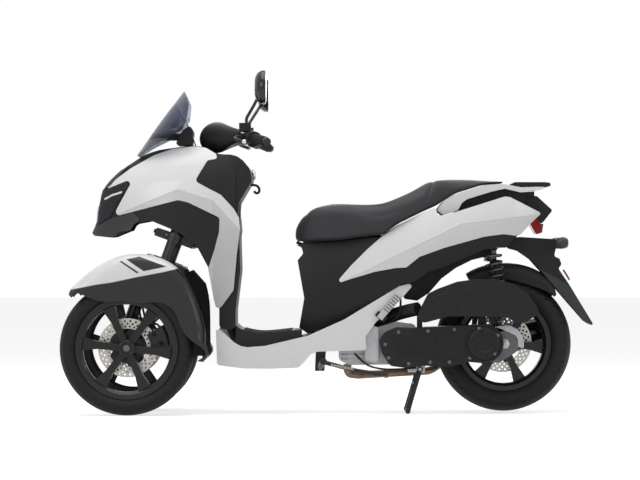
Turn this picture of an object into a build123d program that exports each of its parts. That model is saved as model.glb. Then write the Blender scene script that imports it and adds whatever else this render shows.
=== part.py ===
from build123d import *
import math
import os

# Three-wheel motor scooter: two tilting, steered wheels in front and one driven wheel behind.
# Millimetres. +X points forward, +Y to the rider's left, +Z up. The origin is on the floor, under
# the middle of the overall length. The scooter stands on its centre stand and its front wheels.

os.makedirs("parts", exist_ok=True)

# ---------------------------------------------------------------- driving dimensions
front_axle_x = 747.5
wheelbase = 1410.0
rear_axle_x = front_axle_x - wheelbase
half_track = 235.0

front_tyre_r = 250.0
front_tyre_w = 90.0
front_bead_r = 178.0
rear_tyre_r = 256.0
rear_tyre_w = 130.0
rear_bead_r = 166.0
rear_lift = 6.0  # the rear tyre hangs this far above the floor on the centre stand

front_rim_w = 62.0
rear_rim_w = 92.0
flange_h = 12.0
rim_wall = 5.0
seat_gap = 0.3  # clearance between pieces that seat on each other
run_gap = 0.08  # radial clearance of a shaft in its bore

front_disc_r = 110.0
front_disc_in_r = 70.0
rear_disc_r = 112.0
rear_disc_in_r = 74.0
disc_t = 4.0

caster = 20.0
trail = 68.0
kingpin_y = 150.0  # steering pipes, either side of the head pipe
head_ref_z = 618.0  # height of the linkage's middle on the steering axis
axle_r = 8.0
hub_r = 32.0

skin_t = 3.0  # moulded panels
bar_half = 375.0

# ---------------------------------------------------------------- derived places
front_axle_z = front_tyre_r
rear_axle_z = rear_tyre_r + rear_lift
slope = math.tan(math.radians(caster))
ground_hit_x = front_axle_x + trail
head_ref_x = ground_hit_x - head_ref_z * slope
cos_c = math.cos(math.radians(caster))
sin_c = math.sin(math.radians(caster))
# Local frame on the steering axis: x runs forward across it, z runs up along it.
head = Plane(origin=(head_ref_x, 0, head_ref_z), x_dir=(cos_c, 0, sin_c), z_dir=(-sin_c, 0, cos_c))


# ---------------------------------------------------------------- helpers
def corner_radii(points, limit, closed=True):
    """Largest tangent radius that each corner of a path leaves room for, up to the limit."""
    radii = []
    count = len(points)
    first = 0 if closed else 1
    last = count if closed else count - 1
    for i in range(first, last):
        before = Vector(*points[i - 1])
        here = Vector(*points[i])
        after = Vector(*points[(i + 1) % count])
        turn = math.radians((here - before).get_angle(after - here))
        run = min((here - before).length, (after - here).length)
        radii.append(min(limit, 0.45 * run / math.tan(turn / 2)))
    return radii


def side_slab(points, y_low, y_high, limit=60.0):
    """Slab with a rounded side outline of (x, z) points, between two lateral planes."""
    with BuildPart() as slab:
        with BuildSketch(Plane.XZ.offset(-y_high)):
            with BuildLine():
                FilletPolyline(*points, radius=corner_radii(points, limit), close=True)
            make_face()
        extrude(amount=y_high - y_low)
    return slab.part


def nose_curve(back_x, front_x, half_w, inset):
    """Points of a plan section, from its left rear corner round the nose to the right one."""
    w = half_w - inset
    run = front_x - inset - back_x
    side = [(back_x, w), (back_x + 0.5 * run, 0.83 * w), (back_x + 0.8 * run, 0.54 * w)]
    return side + [(back_x + run, 0)] + [(x, -y) for x, y in reversed(side)]


def plan_form(stations, back_x, inset):
    """Nose-shaped solid lofted upward from (height, front x, half width) plan sections."""
    with BuildPart() as form:
        for height, front_x, half_w in stations:
            curve = nose_curve(back_x, front_x, half_w, inset)
            with BuildSketch(Plane.XY.offset(height)):
                with BuildLine():
                    Spline(*curve)
                    Line(curve[-1], curve[0])
                make_face()
        loft()
    return form.part


def plan_skin(stations, back_x, depth):
    """Wall of the nose-shaped form, from a depth below its surface to one wall further in."""
    with BuildPart() as shell:
        for height, front_x, half_w in stations:
            outer = nose_curve(back_x, front_x, half_w, depth)
            inner = nose_curve(back_x, front_x, half_w, depth + skin_t)
            with BuildSketch(Plane.XY.offset(height)):
                with BuildLine():
                    Spline(*outer)
                    Line(outer[-1], inner[-1])
                    Spline(*reversed(inner))
                    Line(inner[0], outer[0])
                make_face()
        loft()
    return shell.part


def cross_skin(stations, depth, low_share, top_share):
    """Both side walls of a body lofted backward from (x, half width, low, middle, top) sections."""
    with BuildPart() as shell:
        for x, half_w, low, middle, top in stations:
            outer = [
                (low_share * half_w - depth, low),
                (half_w - depth, middle),
                (top_share * half_w - depth, top),
            ]
            inner = [(y - skin_t, z) for y, z in outer]
            with BuildSketch(Plane.YZ.offset(x)):
                with BuildLine():
                    Spline(*outer)
                    Line(outer[-1], inner[-1])
                    Spline(*reversed(inner))
                    Line(inner[0], outer[0])
                make_face()
        loft()
        mirror(about=Plane.XZ)
    return shell.part


def cross_form(stations, depth, low_share, top_share):
    """Solid that fills the space between the walls of a cross skin."""
    with BuildPart() as form:
        for x, half_w, low, middle, top in stations:
            wall = [
                (low_share * half_w - depth, low),
                (half_w - depth, middle),
                (top_share * half_w - depth, top),
            ]
            with BuildSketch(Plane.YZ.offset(x)):
                with BuildLine():
                    Spline(*wall)
                    Line(wall[-1], (-wall[-1][0], wall[-1][1]))
                    Spline(*[(-y, z) for y, z in reversed(wall)])
                    Line((-wall[0][0], wall[0][1]), wall[0])
                make_face()
        loft()
    return form.part


def panel(shell, points, limit=60.0):
    """The part of a shell inside a side outline."""
    with BuildPart() as piece:
        add(shell)
        add(side_slab(points, -400, 400, limit), mode=Mode.INTERSECT)
    return piece.part


def tube(path_points, radius, limit=120.0):
    """Round bar along straight runs joined by tangent arcs."""
    with BuildPart() as bar:
        with BuildLine() as path:
            FilletPolyline(*path_points, radius=corner_radii(path_points, limit, closed=False))
        with BuildSketch(Plane(origin=path.line @ 0, z_dir=path.line % 0)):
            Circle(radius)
        sweep()
    return bar.part


def axis_plane(y, w):
    """Plane square to the steering axis, w along it from its middle, shifted sideways by y."""
    origin = (head_ref_x - w * sin_c, y, head_ref_z + w * cos_c)
    return Plane(origin=origin, x_dir=(cos_c, 0, sin_c), z_dir=(-sin_c, 0, cos_c))


def annulus_sector(cx, cz, inner, outer, start_deg, end_deg):
    """Closed side outline between two radii and two angles."""
    points = []
    for k in range(7):
        a = math.radians(start_deg + (end_deg - start_deg) * k / 6)
        points.append((cx + outer * math.cos(a), cz + outer * math.sin(a)))
    for k in range(7):
        a = math.radians(end_deg + (start_deg - end_deg) * k / 6)
        points.append((cx + inner * math.cos(a), cz + inner * math.sin(a)))
    return points


def slab(points, y_a, y_b):
    """Slab with a straight-sided outline of (x, z) points between two lateral planes."""
    with BuildPart() as piece:
        with BuildSketch(Plane.XZ.offset(-max(y_a, y_b))):
            Polygon(*points, align=None)
        extrude(amount=abs(y_b - y_a))
    return piece.part


def drum(cx, cz, radius, y_a, y_b):
    """Solid cylinder along Y."""
    with BuildPart() as piece:
        with BuildSketch(Plane.XZ.offset(-max(y_a, y_b))):
            with Locations((cx, cz)):
                Circle(radius)
        extrude(amount=abs(y_b - y_a))
    return piece.part


def guard(axle_x, axle_y, axle_z, half, wall, stations):
    """Mudguard lofted round an axle from U sections given as (angle, crown radius, edge radius)."""
    with BuildPart() as shell:
        for angle, crown, edge in stations:
            a = math.radians(angle)
            depth = crown - edge
            across = Plane(origin=(axle_x, axle_y, axle_z), x_dir=(0, 1, 0),
                           z_dir=(math.sin(a), 0, -math.cos(a)))
            outer = [(half, edge), (half, edge + 0.3 * depth), (0.97 * half, edge + 0.6 * depth),
                     (0.7 * half, crown - 0.08 * depth)]
            w = half - wall
            inner = [(w, edge), (w, edge + 0.3 * depth), (0.97 * w, edge + 0.6 * depth),
                     (0.7 * w, crown - wall - 0.08 * depth)]
            with BuildSketch(across):
                with BuildLine():
                    Spline(*outer, (0, crown), *[(-x, y) for x, y in reversed(outer)])
                    Line((-half, edge), (-w, edge))
                    Spline(*[(-x, y) for x, y in inner], (0, crown - wall), *reversed(inner))
                    Line((w, edge), (half, edge))
                make_face()
        loft()
    return shell.part


def save(piece, name):
    """Label a finished piece and write its STEP file."""
    piece.label = name
    export_step(piece, "parts/" + name + ".step")


# ---------------------------------------------------------------- wheels
def section_plane(axle_x, axle_y, axle_z):
    """Plane of a wheel's cross section: its x runs along the axle, its y straight up."""
    return Plane(origin=(axle_x, axle_y, axle_z), x_dir=(0, 1, 0), z_dir=(1, 0, 0))


def tyre(axle_x, axle_y, axle_z, outer_r, width, bead_r, rim_w):
    """Ring with bulged sidewalls and a round crown."""
    half = width / 2
    bead = rim_w / 2 - rim_wall
    lip_z = bead_r + flange_h + 1
    wall_z = bead_r + 0.48 * (outer_r - bead_r)
    shoulder_z = outer_r - 0.22 * (outer_r - bead_r)
    with BuildPart() as ring:
        with BuildSketch(section_plane(axle_x, axle_y, axle_z)):
            with BuildLine():
                Polyline((-bead, lip_z), (-bead, bead_r), (bead, bead_r), (bead, lip_z))
                ThreePointArc((bead, lip_z), (half, wall_z), (0.86 * half, shoulder_z))
                ThreePointArc((0.86 * half, shoulder_z), (0, outer_r), (-0.86 * half, shoulder_z))
                ThreePointArc((-0.86 * half, shoulder_z), (-half, wall_z), (-bead, lip_z))
            make_face()
        revolve(axis=Axis((axle_x, axle_y, axle_z), (0, 1, 0)))
    return ring.part


def rim(axle_x, axle_y, axle_z, bead_r, rim_w, side, spoke_y, hub_in, hub_out):
    """Cast wheel: barrel with flanges, hub, and three pairs of spokes that flare to the barrel."""
    half = rim_w / 2
    seat_r = bead_r - seat_gap
    well_r = bead_r - 16
    low_y = axle_y + min(side * hub_in, side * hub_out)
    high_y = axle_y + max(side * hub_in, side * hub_out)
    with BuildPart() as wheel:
        with BuildSketch(section_plane(axle_x, axle_y, axle_z)):
            Polygon(
                (-half, bead_r + flange_h),
                (-half + rim_wall - seat_gap, bead_r + flange_h),
                (-half + rim_wall - seat_gap, seat_r),
                (-half + 16, seat_r),
                (-half + 22, well_r + rim_wall),
                (half - 22, well_r + rim_wall),
                (half - 16, seat_r),
                (half - rim_wall + seat_gap, seat_r),
                (half - rim_wall + seat_gap, bead_r + flange_h),
                (half, bead_r + flange_h),
                (half, seat_r - rim_wall),
                (half - 12, seat_r - rim_wall),
                (half - 20, well_r),
                (-half + 20, well_r),
                (-half + 12, seat_r - rim_wall),
                (-half, seat_r - rim_wall),
                align=None,
            )
        revolve(axis=Axis((axle_x, axle_y, axle_z), (0, 1, 0)))
        with BuildSketch(Plane.XZ.offset(-high_y)):
            with Locations((axle_x, axle_z)):
                Circle(hub_r)
        extrude(amount=high_y - low_y)
        with BuildSketch(Plane.XZ.offset(-(axle_y + side * spoke_y + 10))):
            with Locations((axle_x, axle_z)):
                with PolarLocations(0, 3, start_angle=96):
                    for turn in (-30, 30):
                        with Locations(Rotation(0, 0, turn)):
                            Polygon(
                                (hub_r - 8, -13),
                                (0.6 * bead_r, -14),
                                (well_r + 2, -25),
                                (well_r + 2, 25),
                                (0.6 * bead_r, 14),
                                (hub_r - 8, 13),
                                align=None,
                            )
        extrude(amount=20)
        with BuildSketch(Plane.XZ.offset(-high_y)):
            with Locations((axle_x, axle_z)):
                Circle(axle_r + run_gap)
        extrude(amount=high_y - low_y, mode=Mode.SUBTRACT)
    return wheel.part


def disc(axle_x, axle_y, axle_z, outer_r, inner_r):
    """Brake disc band on a thin carrier that is bolted to the hub's inner face."""
    with BuildPart() as plate:
        with BuildSketch(Plane.XZ.offset(-(axle_y + disc_t / 2))):
            with Locations((axle_x, axle_z)):
                Circle(outer_r)
                Circle(inner_r, mode=Mode.SUBTRACT)
                with PolarLocations((hub_r + inner_r) / 2, 5):
                    Rectangle(inner_r - hub_r + 16, 16)
                Circle(hub_r + 8)
                Circle(axle_r + 4, mode=Mode.SUBTRACT)
        extrude(amount=disc_t)
    return plate.part


front_hub_in = half_track - 197.0
front_hub_out = 30.0
front_disc_y = half_track - front_hub_in - disc_t / 2
rear_hub_half = 62.0
rear_disc_y = -(rear_hub_half + disc_t / 2)

for name, side in (("left", 1), ("right", -1)):
    y = side * half_track
    save(tyre(front_axle_x, y, front_axle_z, front_tyre_r, front_tyre_w, front_bead_r, front_rim_w),
         "front_tyre_" + name)
    save(rim(front_axle_x, y, front_axle_z, front_bead_r, front_rim_w, side, 6.0, -front_hub_in, front_hub_out),
         "front_rim_" + name)
    save(disc(front_axle_x, side * front_disc_y, front_axle_z, front_disc_r, front_disc_in_r),
         "front_disc_" + name)
save(tyre(rear_axle_x, 0, rear_axle_z, rear_tyre_r, rear_tyre_w, rear_bead_r, rear_rim_w), "rear_tyre")
save(rim(rear_axle_x, 0, rear_axle_z, rear_bead_r, rear_rim_w, 1, 0.0, -rear_hub_half, rear_hub_half), "rear_rim")
save(disc(rear_axle_x, rear_disc_y, rear_axle_z, rear_disc_r, rear_disc_in_r), "rear_disc")


# ---------------------------------------------------------------- front linkage and steering
arm_h = 30.0
arm_w_low = -75.0
arm_w_high = 28.0
arm_half_len = 75.0
pipe_r = 20.0
pipe_low = -90.0
pipe_high = 62.0
kingpin_r = 12.0
crown_t = 22.0
crown_w = -125.0
steer_arm = 92.0
ball_r = 5.0
rod_w = -92.0
stem_r = 14.0
stem_top = 420.0
bracket_half = 28.0
head_tube_low = 150.0
head_tube_high = 362.0
head_tube_r = 27.0
tube_pitch = 34.0
stanchion_r = 13.0
slider_r = 17.0

axle_u = (front_axle_x - head_ref_x) * cos_c + (front_axle_z - head_ref_z) * sin_c
axle_w = -(front_axle_x - head_ref_x) * sin_c + (front_axle_z - head_ref_z) * cos_c

with BuildPart() as tilt_linkage:
    for level in (arm_w_low, arm_w_high):
        with BuildSketch(axis_plane(0, level)):
            Rectangle(2 * arm_half_len, 2 * kingpin_y)
            with Locations((0, kingpin_y), (0, -kingpin_y)):
                Circle(28)
            Rectangle(2 * arm_half_len - 36, 2 * kingpin_y - 90, mode=Mode.SUBTRACT)
            with Locations((0, kingpin_y), (0, -kingpin_y)):
                Circle(pipe_r + seat_gap, mode=Mode.SUBTRACT)
        extrude(amount=arm_h)
        with BuildSketch(Plane(axis_plane(0, level + arm_h / 2).origin, x_dir=(0, 1, 0), z_dir=(cos_c, 0, sin_c))):
            Circle(9.0 + seat_gap)
        extrude(amount=arm_half_len, both=True, mode=Mode.SUBTRACT)
    for y in (-kingpin_y, kingpin_y):
        with BuildSketch(axis_plane(y, pipe_low)):
            Circle(pipe_r)
            Circle(kingpin_r + run_gap, mode=Mode.SUBTRACT)
        extrude(amount=pipe_high - pipe_low)
save(tilt_linkage.part, "tilt_linkage")

caliper_in = 86.0
caliper_out = 150.0
caliper_low_deg = 146.0
caliper_high_deg = 180.0

for name, side in (("left", 1), ("right", -1)):
    y = side * kingpin_y
    with BuildPart() as caliper:
        add(slab(annulus_sector(front_axle_x, front_axle_z, caliper_in, caliper_out, caliper_low_deg,
                                caliper_high_deg), side * (front_disc_y - 20), side * (front_disc_y + 15)))
        add(drum(front_axle_x, front_axle_z, front_disc_r + 3, side * (front_disc_y - 5),
                 side * (front_disc_y + 5)), mode=Mode.SUBTRACT)
        add(slab([(front_axle_x - 30, front_axle_z - 18), (front_axle_x - 90, front_axle_z - 10),
                  (front_axle_x - 122, front_axle_z + 20), (front_axle_x - 100, front_axle_z + 62),
                  (front_axle_x - 30, front_axle_z + 18)],
                 side * (kingpin_y + 12), side * (kingpin_y + 28)))
    with BuildPart() as fork:
        with BuildSketch(axis_plane(y, crown_w)):
            with Locations((22, 0)):
                SlotOverall(112, 46)
            with Locations((steer_arm / 2 + 10, 0)):
                SlotOverall(steer_arm + 4, 22)
        extrude(amount=crown_t)
        with BuildSketch(axis_plane(y, crown_w + crown_t)):
            Circle(pipe_r)
        extrude(amount=pipe_low - seat_gap - crown_w - crown_t)
        with BuildSketch(axis_plane(y, crown_w + crown_t)):
            Circle(kingpin_r)
        extrude(amount=pipe_high + 10 - crown_w - crown_t)
        with BuildSketch(axis_plane(y, pipe_high + seat_gap)):
            RegularPolygon(14, 6)
        extrude(amount=10)
        with BuildSketch(axis_plane(y, crown_w + crown_t)):
            with Locations((steer_arm, 0)):
                Circle(ball_r)
        extrude(amount=rod_w + 12 - crown_w - crown_t)
        with BuildSketch(axis_plane(y, crown_w)):
            with Locations((axle_u - tube_pitch, 0), (axle_u + tube_pitch, 0)):
                Circle(stanchion_r)
        extrude(amount=axle_w + 60 - crown_w)
        with BuildSketch(axis_plane(y, axle_w - 20)):
            with Locations((axle_u - tube_pitch, 0), (axle_u + tube_pitch, 0)):
                Circle(slider_r)
        extrude(amount=180)
        with BuildSketch(Plane.XZ.offset(-(y + 19))):
            with Locations((front_axle_x, front_axle_z)):
                SlotOverall(124, 44, rotation=caster)
        extrude(amount=38)
        with BuildSketch(Plane.XZ.offset(-max(y, side * (half_track + 26)))):
            with Locations((front_axle_x, front_axle_z)):
                Circle(axle_r)
        extrude(amount=abs(side * (half_track + 26) - y))
        hub_face = side * (half_track - front_hub_in - disc_t - seat_gap)
        with BuildSketch(Plane.XZ.offset(-max(y, hub_face))):
            with Locations((front_axle_x, front_axle_z)):
                Circle(axle_r + 3)
        extrude(amount=abs(hub_face - y))
        add(caliper.part)
    save(fork.part, "fork_" + name)


# ---------------------------------------------------------------- front fenders
fender_y = half_track + 2.0  # a little outboard of the tyre's middle
fender_half = 55.0
fender_t = 3.0
# Angle round the axle from straight ahead, radius of the crown, radius of the side wall's edge.
fender_stations = [
    (43, 294, 275), (52, 304, 246), (68, 320, 186), (90, 347, 176), (108, 357, 177), (124, 350, 206),
    (142, 320, 224), (159, 302, 217), (176, 292, 258), (190, 290, 266),
]


for name, side in (("left", 1), ("right", -1)):
    with BuildPart() as fender:
        add(guard(front_axle_x, side * fender_y, front_axle_z, fender_half, fender_t, fender_stations))
        add(slab([(640, 470), (700, 470), (700, 560), (640, 560)],
                 side * (kingpin_y + 23 + seat_gap), side * (fender_y - fender_half + 3)))
    save(fender.part, "fender_" + name)

# ---------------------------------------------------------------- steering
with BuildPart() as tie_rod:
    with BuildSketch(axis_plane(0, rod_w - 7)):
        with Locations((steer_arm, 0), (steer_arm, kingpin_y), (steer_arm, -kingpin_y)):
            Circle(12)
        with Locations((steer_arm, 0)):
            Rectangle(13, 2 * kingpin_y)
        with Locations((steer_arm, 0), (steer_arm, kingpin_y), (steer_arm, -kingpin_y)):
            Circle(ball_r + seat_gap, mode=Mode.SUBTRACT)
    extrude(amount=14)
save(tie_rod.part, "tie_rod")

bar_path = [(447, 0, 1010), (440, 70, 1033), (308, 190, 1042), (227, bar_half - 6, 1012)]
bar_r = 11.0
grip_r = 16.0
grip_len = 112.0
with BuildPart() as handlebar:
    with BuildSketch(axis_plane(0, crown_w)):
        Circle(stem_r + 4)
        with Locations((steer_arm / 2, 0)):
            SlotOverall(steer_arm + 26, 26)
    extrude(amount=crown_t)
    with BuildSketch(axis_plane(0, crown_w)):
        Circle(stem_r)
    extrude(amount=stem_top - crown_w)
    with BuildSketch(axis_plane(0, crown_w + crown_t)):
        with Locations((steer_arm, 0)):
            Circle(ball_r)
    extrude(amount=rod_w + 12 - crown_w - crown_t)
    for side in (1, -1):
        points = [(x, side * y, z) for x, y, z in bar_path]
        add(tube(points, bar_r))
        tip = Vector(*points[-1])
        run = (tip - Vector(*points[-2])).normalized()
        with BuildSketch(Plane(origin=tip - run * grip_len, z_dir=run)):
            Circle(grip_r)
        extrude(amount=grip_len - 12)
        with BuildSketch(Plane(origin=tip - run * 11, z_dir=run)):
            Circle(grip_r - 1)
        extrude(amount=17)
save(handlebar.part, "handlebar")

cover_t = 4.0
with BuildPart() as controls:
    for side in (1, -1):
        points = [(x, side * y, z) for x, y, z in bar_path]
        tip = Vector(*points[-1])
        run = (tip - Vector(*points[-2])).normalized()
        with BuildSketch(Plane(origin=tip - run * (grip_len + 42), x_dir=(1, 0, 0), z_dir=run)):
            Ellipse(27, 24)
            Circle(bar_r + seat_gap, mode=Mode.SUBTRACT)
        extrude(amount=41)
    for side in (1, -1):
        points = [(x, side * y, z) for x, y, z in bar_path]
        tip = Vector(*points[-1])
        run = (tip - Vector(*points[-2])).normalized()
        base = tip - run * (grip_len + 36)
        lever = [(base.X + 26, base.Y, base.Z + 6), (base.X + 62, base.Y + side * 20, base.Z - 4),
                 (base.X + 50, base.Y + side * 75, base.Z - 14), (base.X + 22, base.Y + side * 118, base.Z - 22)]
        add(tube(lever, 6.5, 40.0))
        with BuildSketch(Plane.XY.offset(base.Z + 22)):
            with Locations((base.X + 22, base.Y - side * 8)):
                RectangleRounded(44, 38, 8)
        extrude(amount=30)
save(controls.part, "controls")

hood_sections = [(0, 424, 1040, 64, 58), (120, 376, 1041, 40, 36), (190, 314, 1042, 27, 22)]


def hood(inset):
    """Solid round the middle of the handlebar, lofted from elliptic sections along Y."""
    with BuildPart() as form:
        for y, x, z, half_x, half_z in [(-a, *b) for a, *b in reversed(hood_sections[1:])] + hood_sections:
            with BuildSketch(Plane.XZ.offset(-y)):
                with Locations((x, z)):
                    Ellipse(half_x - inset, half_z - inset, rotation=-25)
        loft()
    return form.part


with BuildPart() as cover_webs:
    add(hood(1.0))
    for side in (1, -1):
        add(slab([(250, 950), (550, 950), (550, 1150), (250, 1150)], side * 118, side * 0), mode=Mode.SUBTRACT)
        add(slab([(250, 950), (550, 950), (550, 1150), (250, 1150)], side * 124, side * 200), mode=Mode.SUBTRACT)
        add(tube([(x, side * y, z) for x, y, z in bar_path], bar_r + seat_gap), mode=Mode.SUBTRACT)
with BuildPart() as handlebar_cover:
    add(hood(0.0))
    add(hood(cover_t), mode=Mode.SUBTRACT)
    with BuildSketch(axis_plane(0, 300)):
        Circle(stem_r + 14)
    extrude(amount=115, mode=Mode.SUBTRACT)
    add(cover_webs.part)
save(handlebar_cover.part, "handlebar_cover")

mirror_y = 328.0
with BuildPart() as mirrors:
    for side in (1, -1):
        for x, half_y, half_z in ((272, 20, 22), (262, 50, 52), (248, 62, 62), (231, 64, 63)):
            with BuildSketch(Plane.YZ.offset(x)):
                with Locations((side * mirror_y, 1215)):
                    Ellipse(half_y, half_z)
        loft()
    for side in (1, -1):
        points = [(304, side * 232, 1086.6), (304, side * 232, 1104), (276, side * 262, 1150),
                  (256, side * 300, 1186)]
        add(tube(points, 6.0, 60.0))
save(mirrors.part, "mirrors")

# ---------------------------------------------------------------- frame
nose_back_x = 250.0
nose_stations = [(150, 884, 184), (300, 888, 190), (500, 896, 203), (680, 899, 208), (760, 875, 209),
                 (838, 857, 205), (908, 798, 192), (960, 726, 170), (1000, 612, 148), (1018, 520, 134)]
layer = skin_t + seat_gap
# Rear body sections: place along the scooter, half width, lowest, widest and top heights.
rear_stations = [(130, 118, 290, 480, 680), (60, 142, 290, 490, 680), (-80, 160, 300, 520, 700),
                 (-250, 168, 340, 560, 760), (-420, 170, 460, 620, 830), (-600, 156, 560, 690, 880),
                 (-740, 120, 620, 730, 880), (-850, 66, 660, 750, 880)]
peg_x = -197.0
peg_z = 366.0
peg_y = 176.0
peg_lean = 40.3  # the folded footpeg leans this far back from upright
peg_lug_w = 42.0
peg_lug_h = 22.0
peg_pin_r = 4.0
peg_axis = Vector(math.cos(math.radians(peg_lean)), 0, math.sin(math.radians(peg_lean)))
side_pivot = Vector(20, 158, 196)
side_axis = Vector(-0.18, 1.0, 0.366).normalized()


def peg_plane(side, y):
    """Plane square to the scooter's width at a footpeg, with x along the peg's pivot pin."""
    return Plane(origin=(peg_x, side * y, peg_z), x_dir=peg_axis, z_dir=(0, side, 0))


frame_tube_r = 18.0
rail_r = 14.0
down_path = [(505, 0, 852), (462, 0, 745), (388, 0, 640), (378, 0, 420), (374, 0, 330), (345, 0, 268), (290, 0, 258)]
rail_path = [(300, 60, 258), (120, 78, 258), (30, 80, 300), (-60, 92, 355), (-330, 112, 575),
             (-540, 104, 640), (-760, 80, 742)]
with BuildPart() as cover_stays:
    for side in (1, -1):
        add(slab([(-122, 396), (-100, 396), (-100, 436), (-122, 436)], side * 90, side * 200))
    add(cross_form(rear_stations, layer + skin_t + seat_gap, 0.74, 0.64), mode=Mode.INTERSECT)
with BuildPart() as nose_stay:
    add(slab([(526, 770), (930, 770), (930, 788), (526, 788)], -12, 12))
    add(plan_form(nose_stations, nose_back_x, layer + skin_t + seat_gap), mode=Mode.INTERSECT)
with BuildPart() as frame:
    with BuildSketch(axis_plane(0, head_tube_low)):
        Circle(head_tube_r)
    extrude(amount=head_tube_high - head_tube_low)
    with BuildSketch(axis_plane(0, pipe_low + 2)):
        RectangleRounded(2 * bracket_half, 2 * bracket_half + 10, 8)
    extrude(amount=head_tube_low - pipe_low)
    for level in (arm_w_low, arm_w_high):
        pin_plane = Plane(axis_plane(0, level + arm_h / 2).origin, x_dir=(0, 1, 0), z_dir=(cos_c, 0, sin_c))
        with BuildSketch(pin_plane):
            Circle(9.0)
        extrude(amount=arm_half_len + 4, both=True)
    add(tube(down_path, frame_tube_r))
    add(nose_stay.part)
    add(cover_stays.part)
    for side in (1, -1):
        add(tube([(x, side * y, z) for x, y, z in rail_path], rail_r))
    for x, half_y, z in ((300, 62, 258), (60, 78, 284), (-330, 112, 575), (-700, 86, 712)):
        with BuildSketch(Plane.XZ.offset(-half_y)):
            with Locations((x, z)):
                Circle(rail_r - 2)
        extrude(amount=2 * half_y)
    with BuildSketch(axis_plane(0, crown_w)):
        Circle(stem_r + run_gap)
    extrude(amount=stem_top - crown_w, mode=Mode.SUBTRACT)
    # engine hanger, shock tops and footpeg brackets
    add(slab([(66, 268), (66, 300), (-39.7, 300), (-39.7, 262)], -30, 30))
    for side in (1, -1):
        add(slab([(-598, 665), (-602, 620), (-630, 620), (-634, 680)], side * 86, side * 96))
        add(drum(-617, 632, 9.0, side * 90, side * 124))
        add(slab([(170, 262), (190, 262), (190, 303.3), (170, 305.6)], side * 70, side * 86))
        add(slab([(-170, 440), (-215, 480), (-225, 380), (-205, 352), (-185, 356)], side * 100, side * 110))
        with BuildSketch(peg_plane(side, 100)):
            Rectangle(peg_lug_w, peg_lug_h)
        extrude(amount=58)
        with BuildSketch(peg_plane(side, 157)):
            with Locations((16.5, 0), (-16.5, 0)):
                Rectangle(6, peg_lug_h)
        extrude(amount=26)
        with BuildSketch(Plane(origin=(peg_x, side * peg_y, peg_z), z_dir=peg_axis)):
            Circle(peg_pin_r)
        extrude(amount=19.5, both=True)
    # storage box posts, side stand lug
    add(slab([(50, 288), (66, 288), (58, 439.7), (42, 439.7)], -15, 15))
    for y in (-50, 34):
        add(slab([(-330, 567), (-330, 585), (-243.6, 585), (-221, 567)], y, y + 16))
    add(slab([(44, 300), (4, 290), (14, 160), (50, 160)], 84, 96))
    with BuildSketch(Plane(origin=side_pivot - side_axis * 8.5, z_dir=side_axis)):
        Circle(12)
    extrude(amount=-62)
    with BuildSketch(Plane(origin=side_pivot, z_dir=side_axis)):
        Circle(5)
    extrude(amount=12, both=True)
save(frame.part, "frame")

# ---------------------------------------------------------------- front bodywork
outer_skin = plan_skin(nose_stations, nose_back_x, 0.0)
under_skin = plan_skin(nose_stations, nose_back_x, layer)

nose_white = [
    (838, 844), (822, 866), (745, 922), (656, 972), (585, 996), (500, 1005), (457, 997), (419, 974),
    (416, 956), (452, 950), (498, 872), (447, 844), (400, 820), (352, 768), (333, 735), (329, 689),
    (341, 600), (353, 465), (415, 380), (430, 445), (448, 544), (425, 614), (407, 684), (405, 735),
    (523, 792), (561, 801), (812, 738), (742, 864), (754, 876),
]
nose_black = [
    (892, 680), (880, 708), (873, 758), (862, 800), (856, 838), (822, 886), (796, 908), (754, 935),
    (675, 988), (600, 998), (508, 1008), (466, 1001), (425, 978), (372, 968), (345, 900), (345, 700),
    (352, 465), (415, 384), (448, 549), (489, 626), (557, 680), (666, 725), (737, 711), (740, 690),
    (805, 662), (880, 668),
]
chin_outline = [
    (893, 680), (876, 703), (820, 733), (735, 754), (704, 729), (732, 706), (742, 687), (782, 683),
    (800, 667), (816, 661), (882, 668),
]
lamp_outline = [(750, 873), (851, 834), (871, 753), (874, 708), (822, 737), (750, 858)]
save(panel(outer_skin, nose_white, 14.0), "nose_cowl")
with BuildPart() as inner_nose:
    add(panel(under_skin, nose_black, 14.0))
    add(panel(outer_skin, chin_outline, 6.0))
save(inner_nose.part, "inner_nose")
with BuildPart() as headlamps:
    add(panel(outer_skin, lamp_outline, 5.0))
    with BuildSketch(Plane.XY.offset(650)):
        with Locations((800, 0)):
            Rectangle(400, 56)
    extrude(amount=300, mode=Mode.SUBTRACT)
save(headlamps.part, "headlamps")

screen_stations = [(900, 786, 196), (990, 712, 184), (1065, 660, 168), (1157, 592, 144), (1225, 541, 122)]
screen_outline = [(748, 942), (547, 1218), (541, 1211), (522, 1164), (528, 1112), (545, 1065), (665, 1000)]
screen_back_x = 470.0
save(panel(plan_skin(screen_stations, screen_back_x, 0.0), screen_outline, 20.0), "windscreen")

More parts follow.
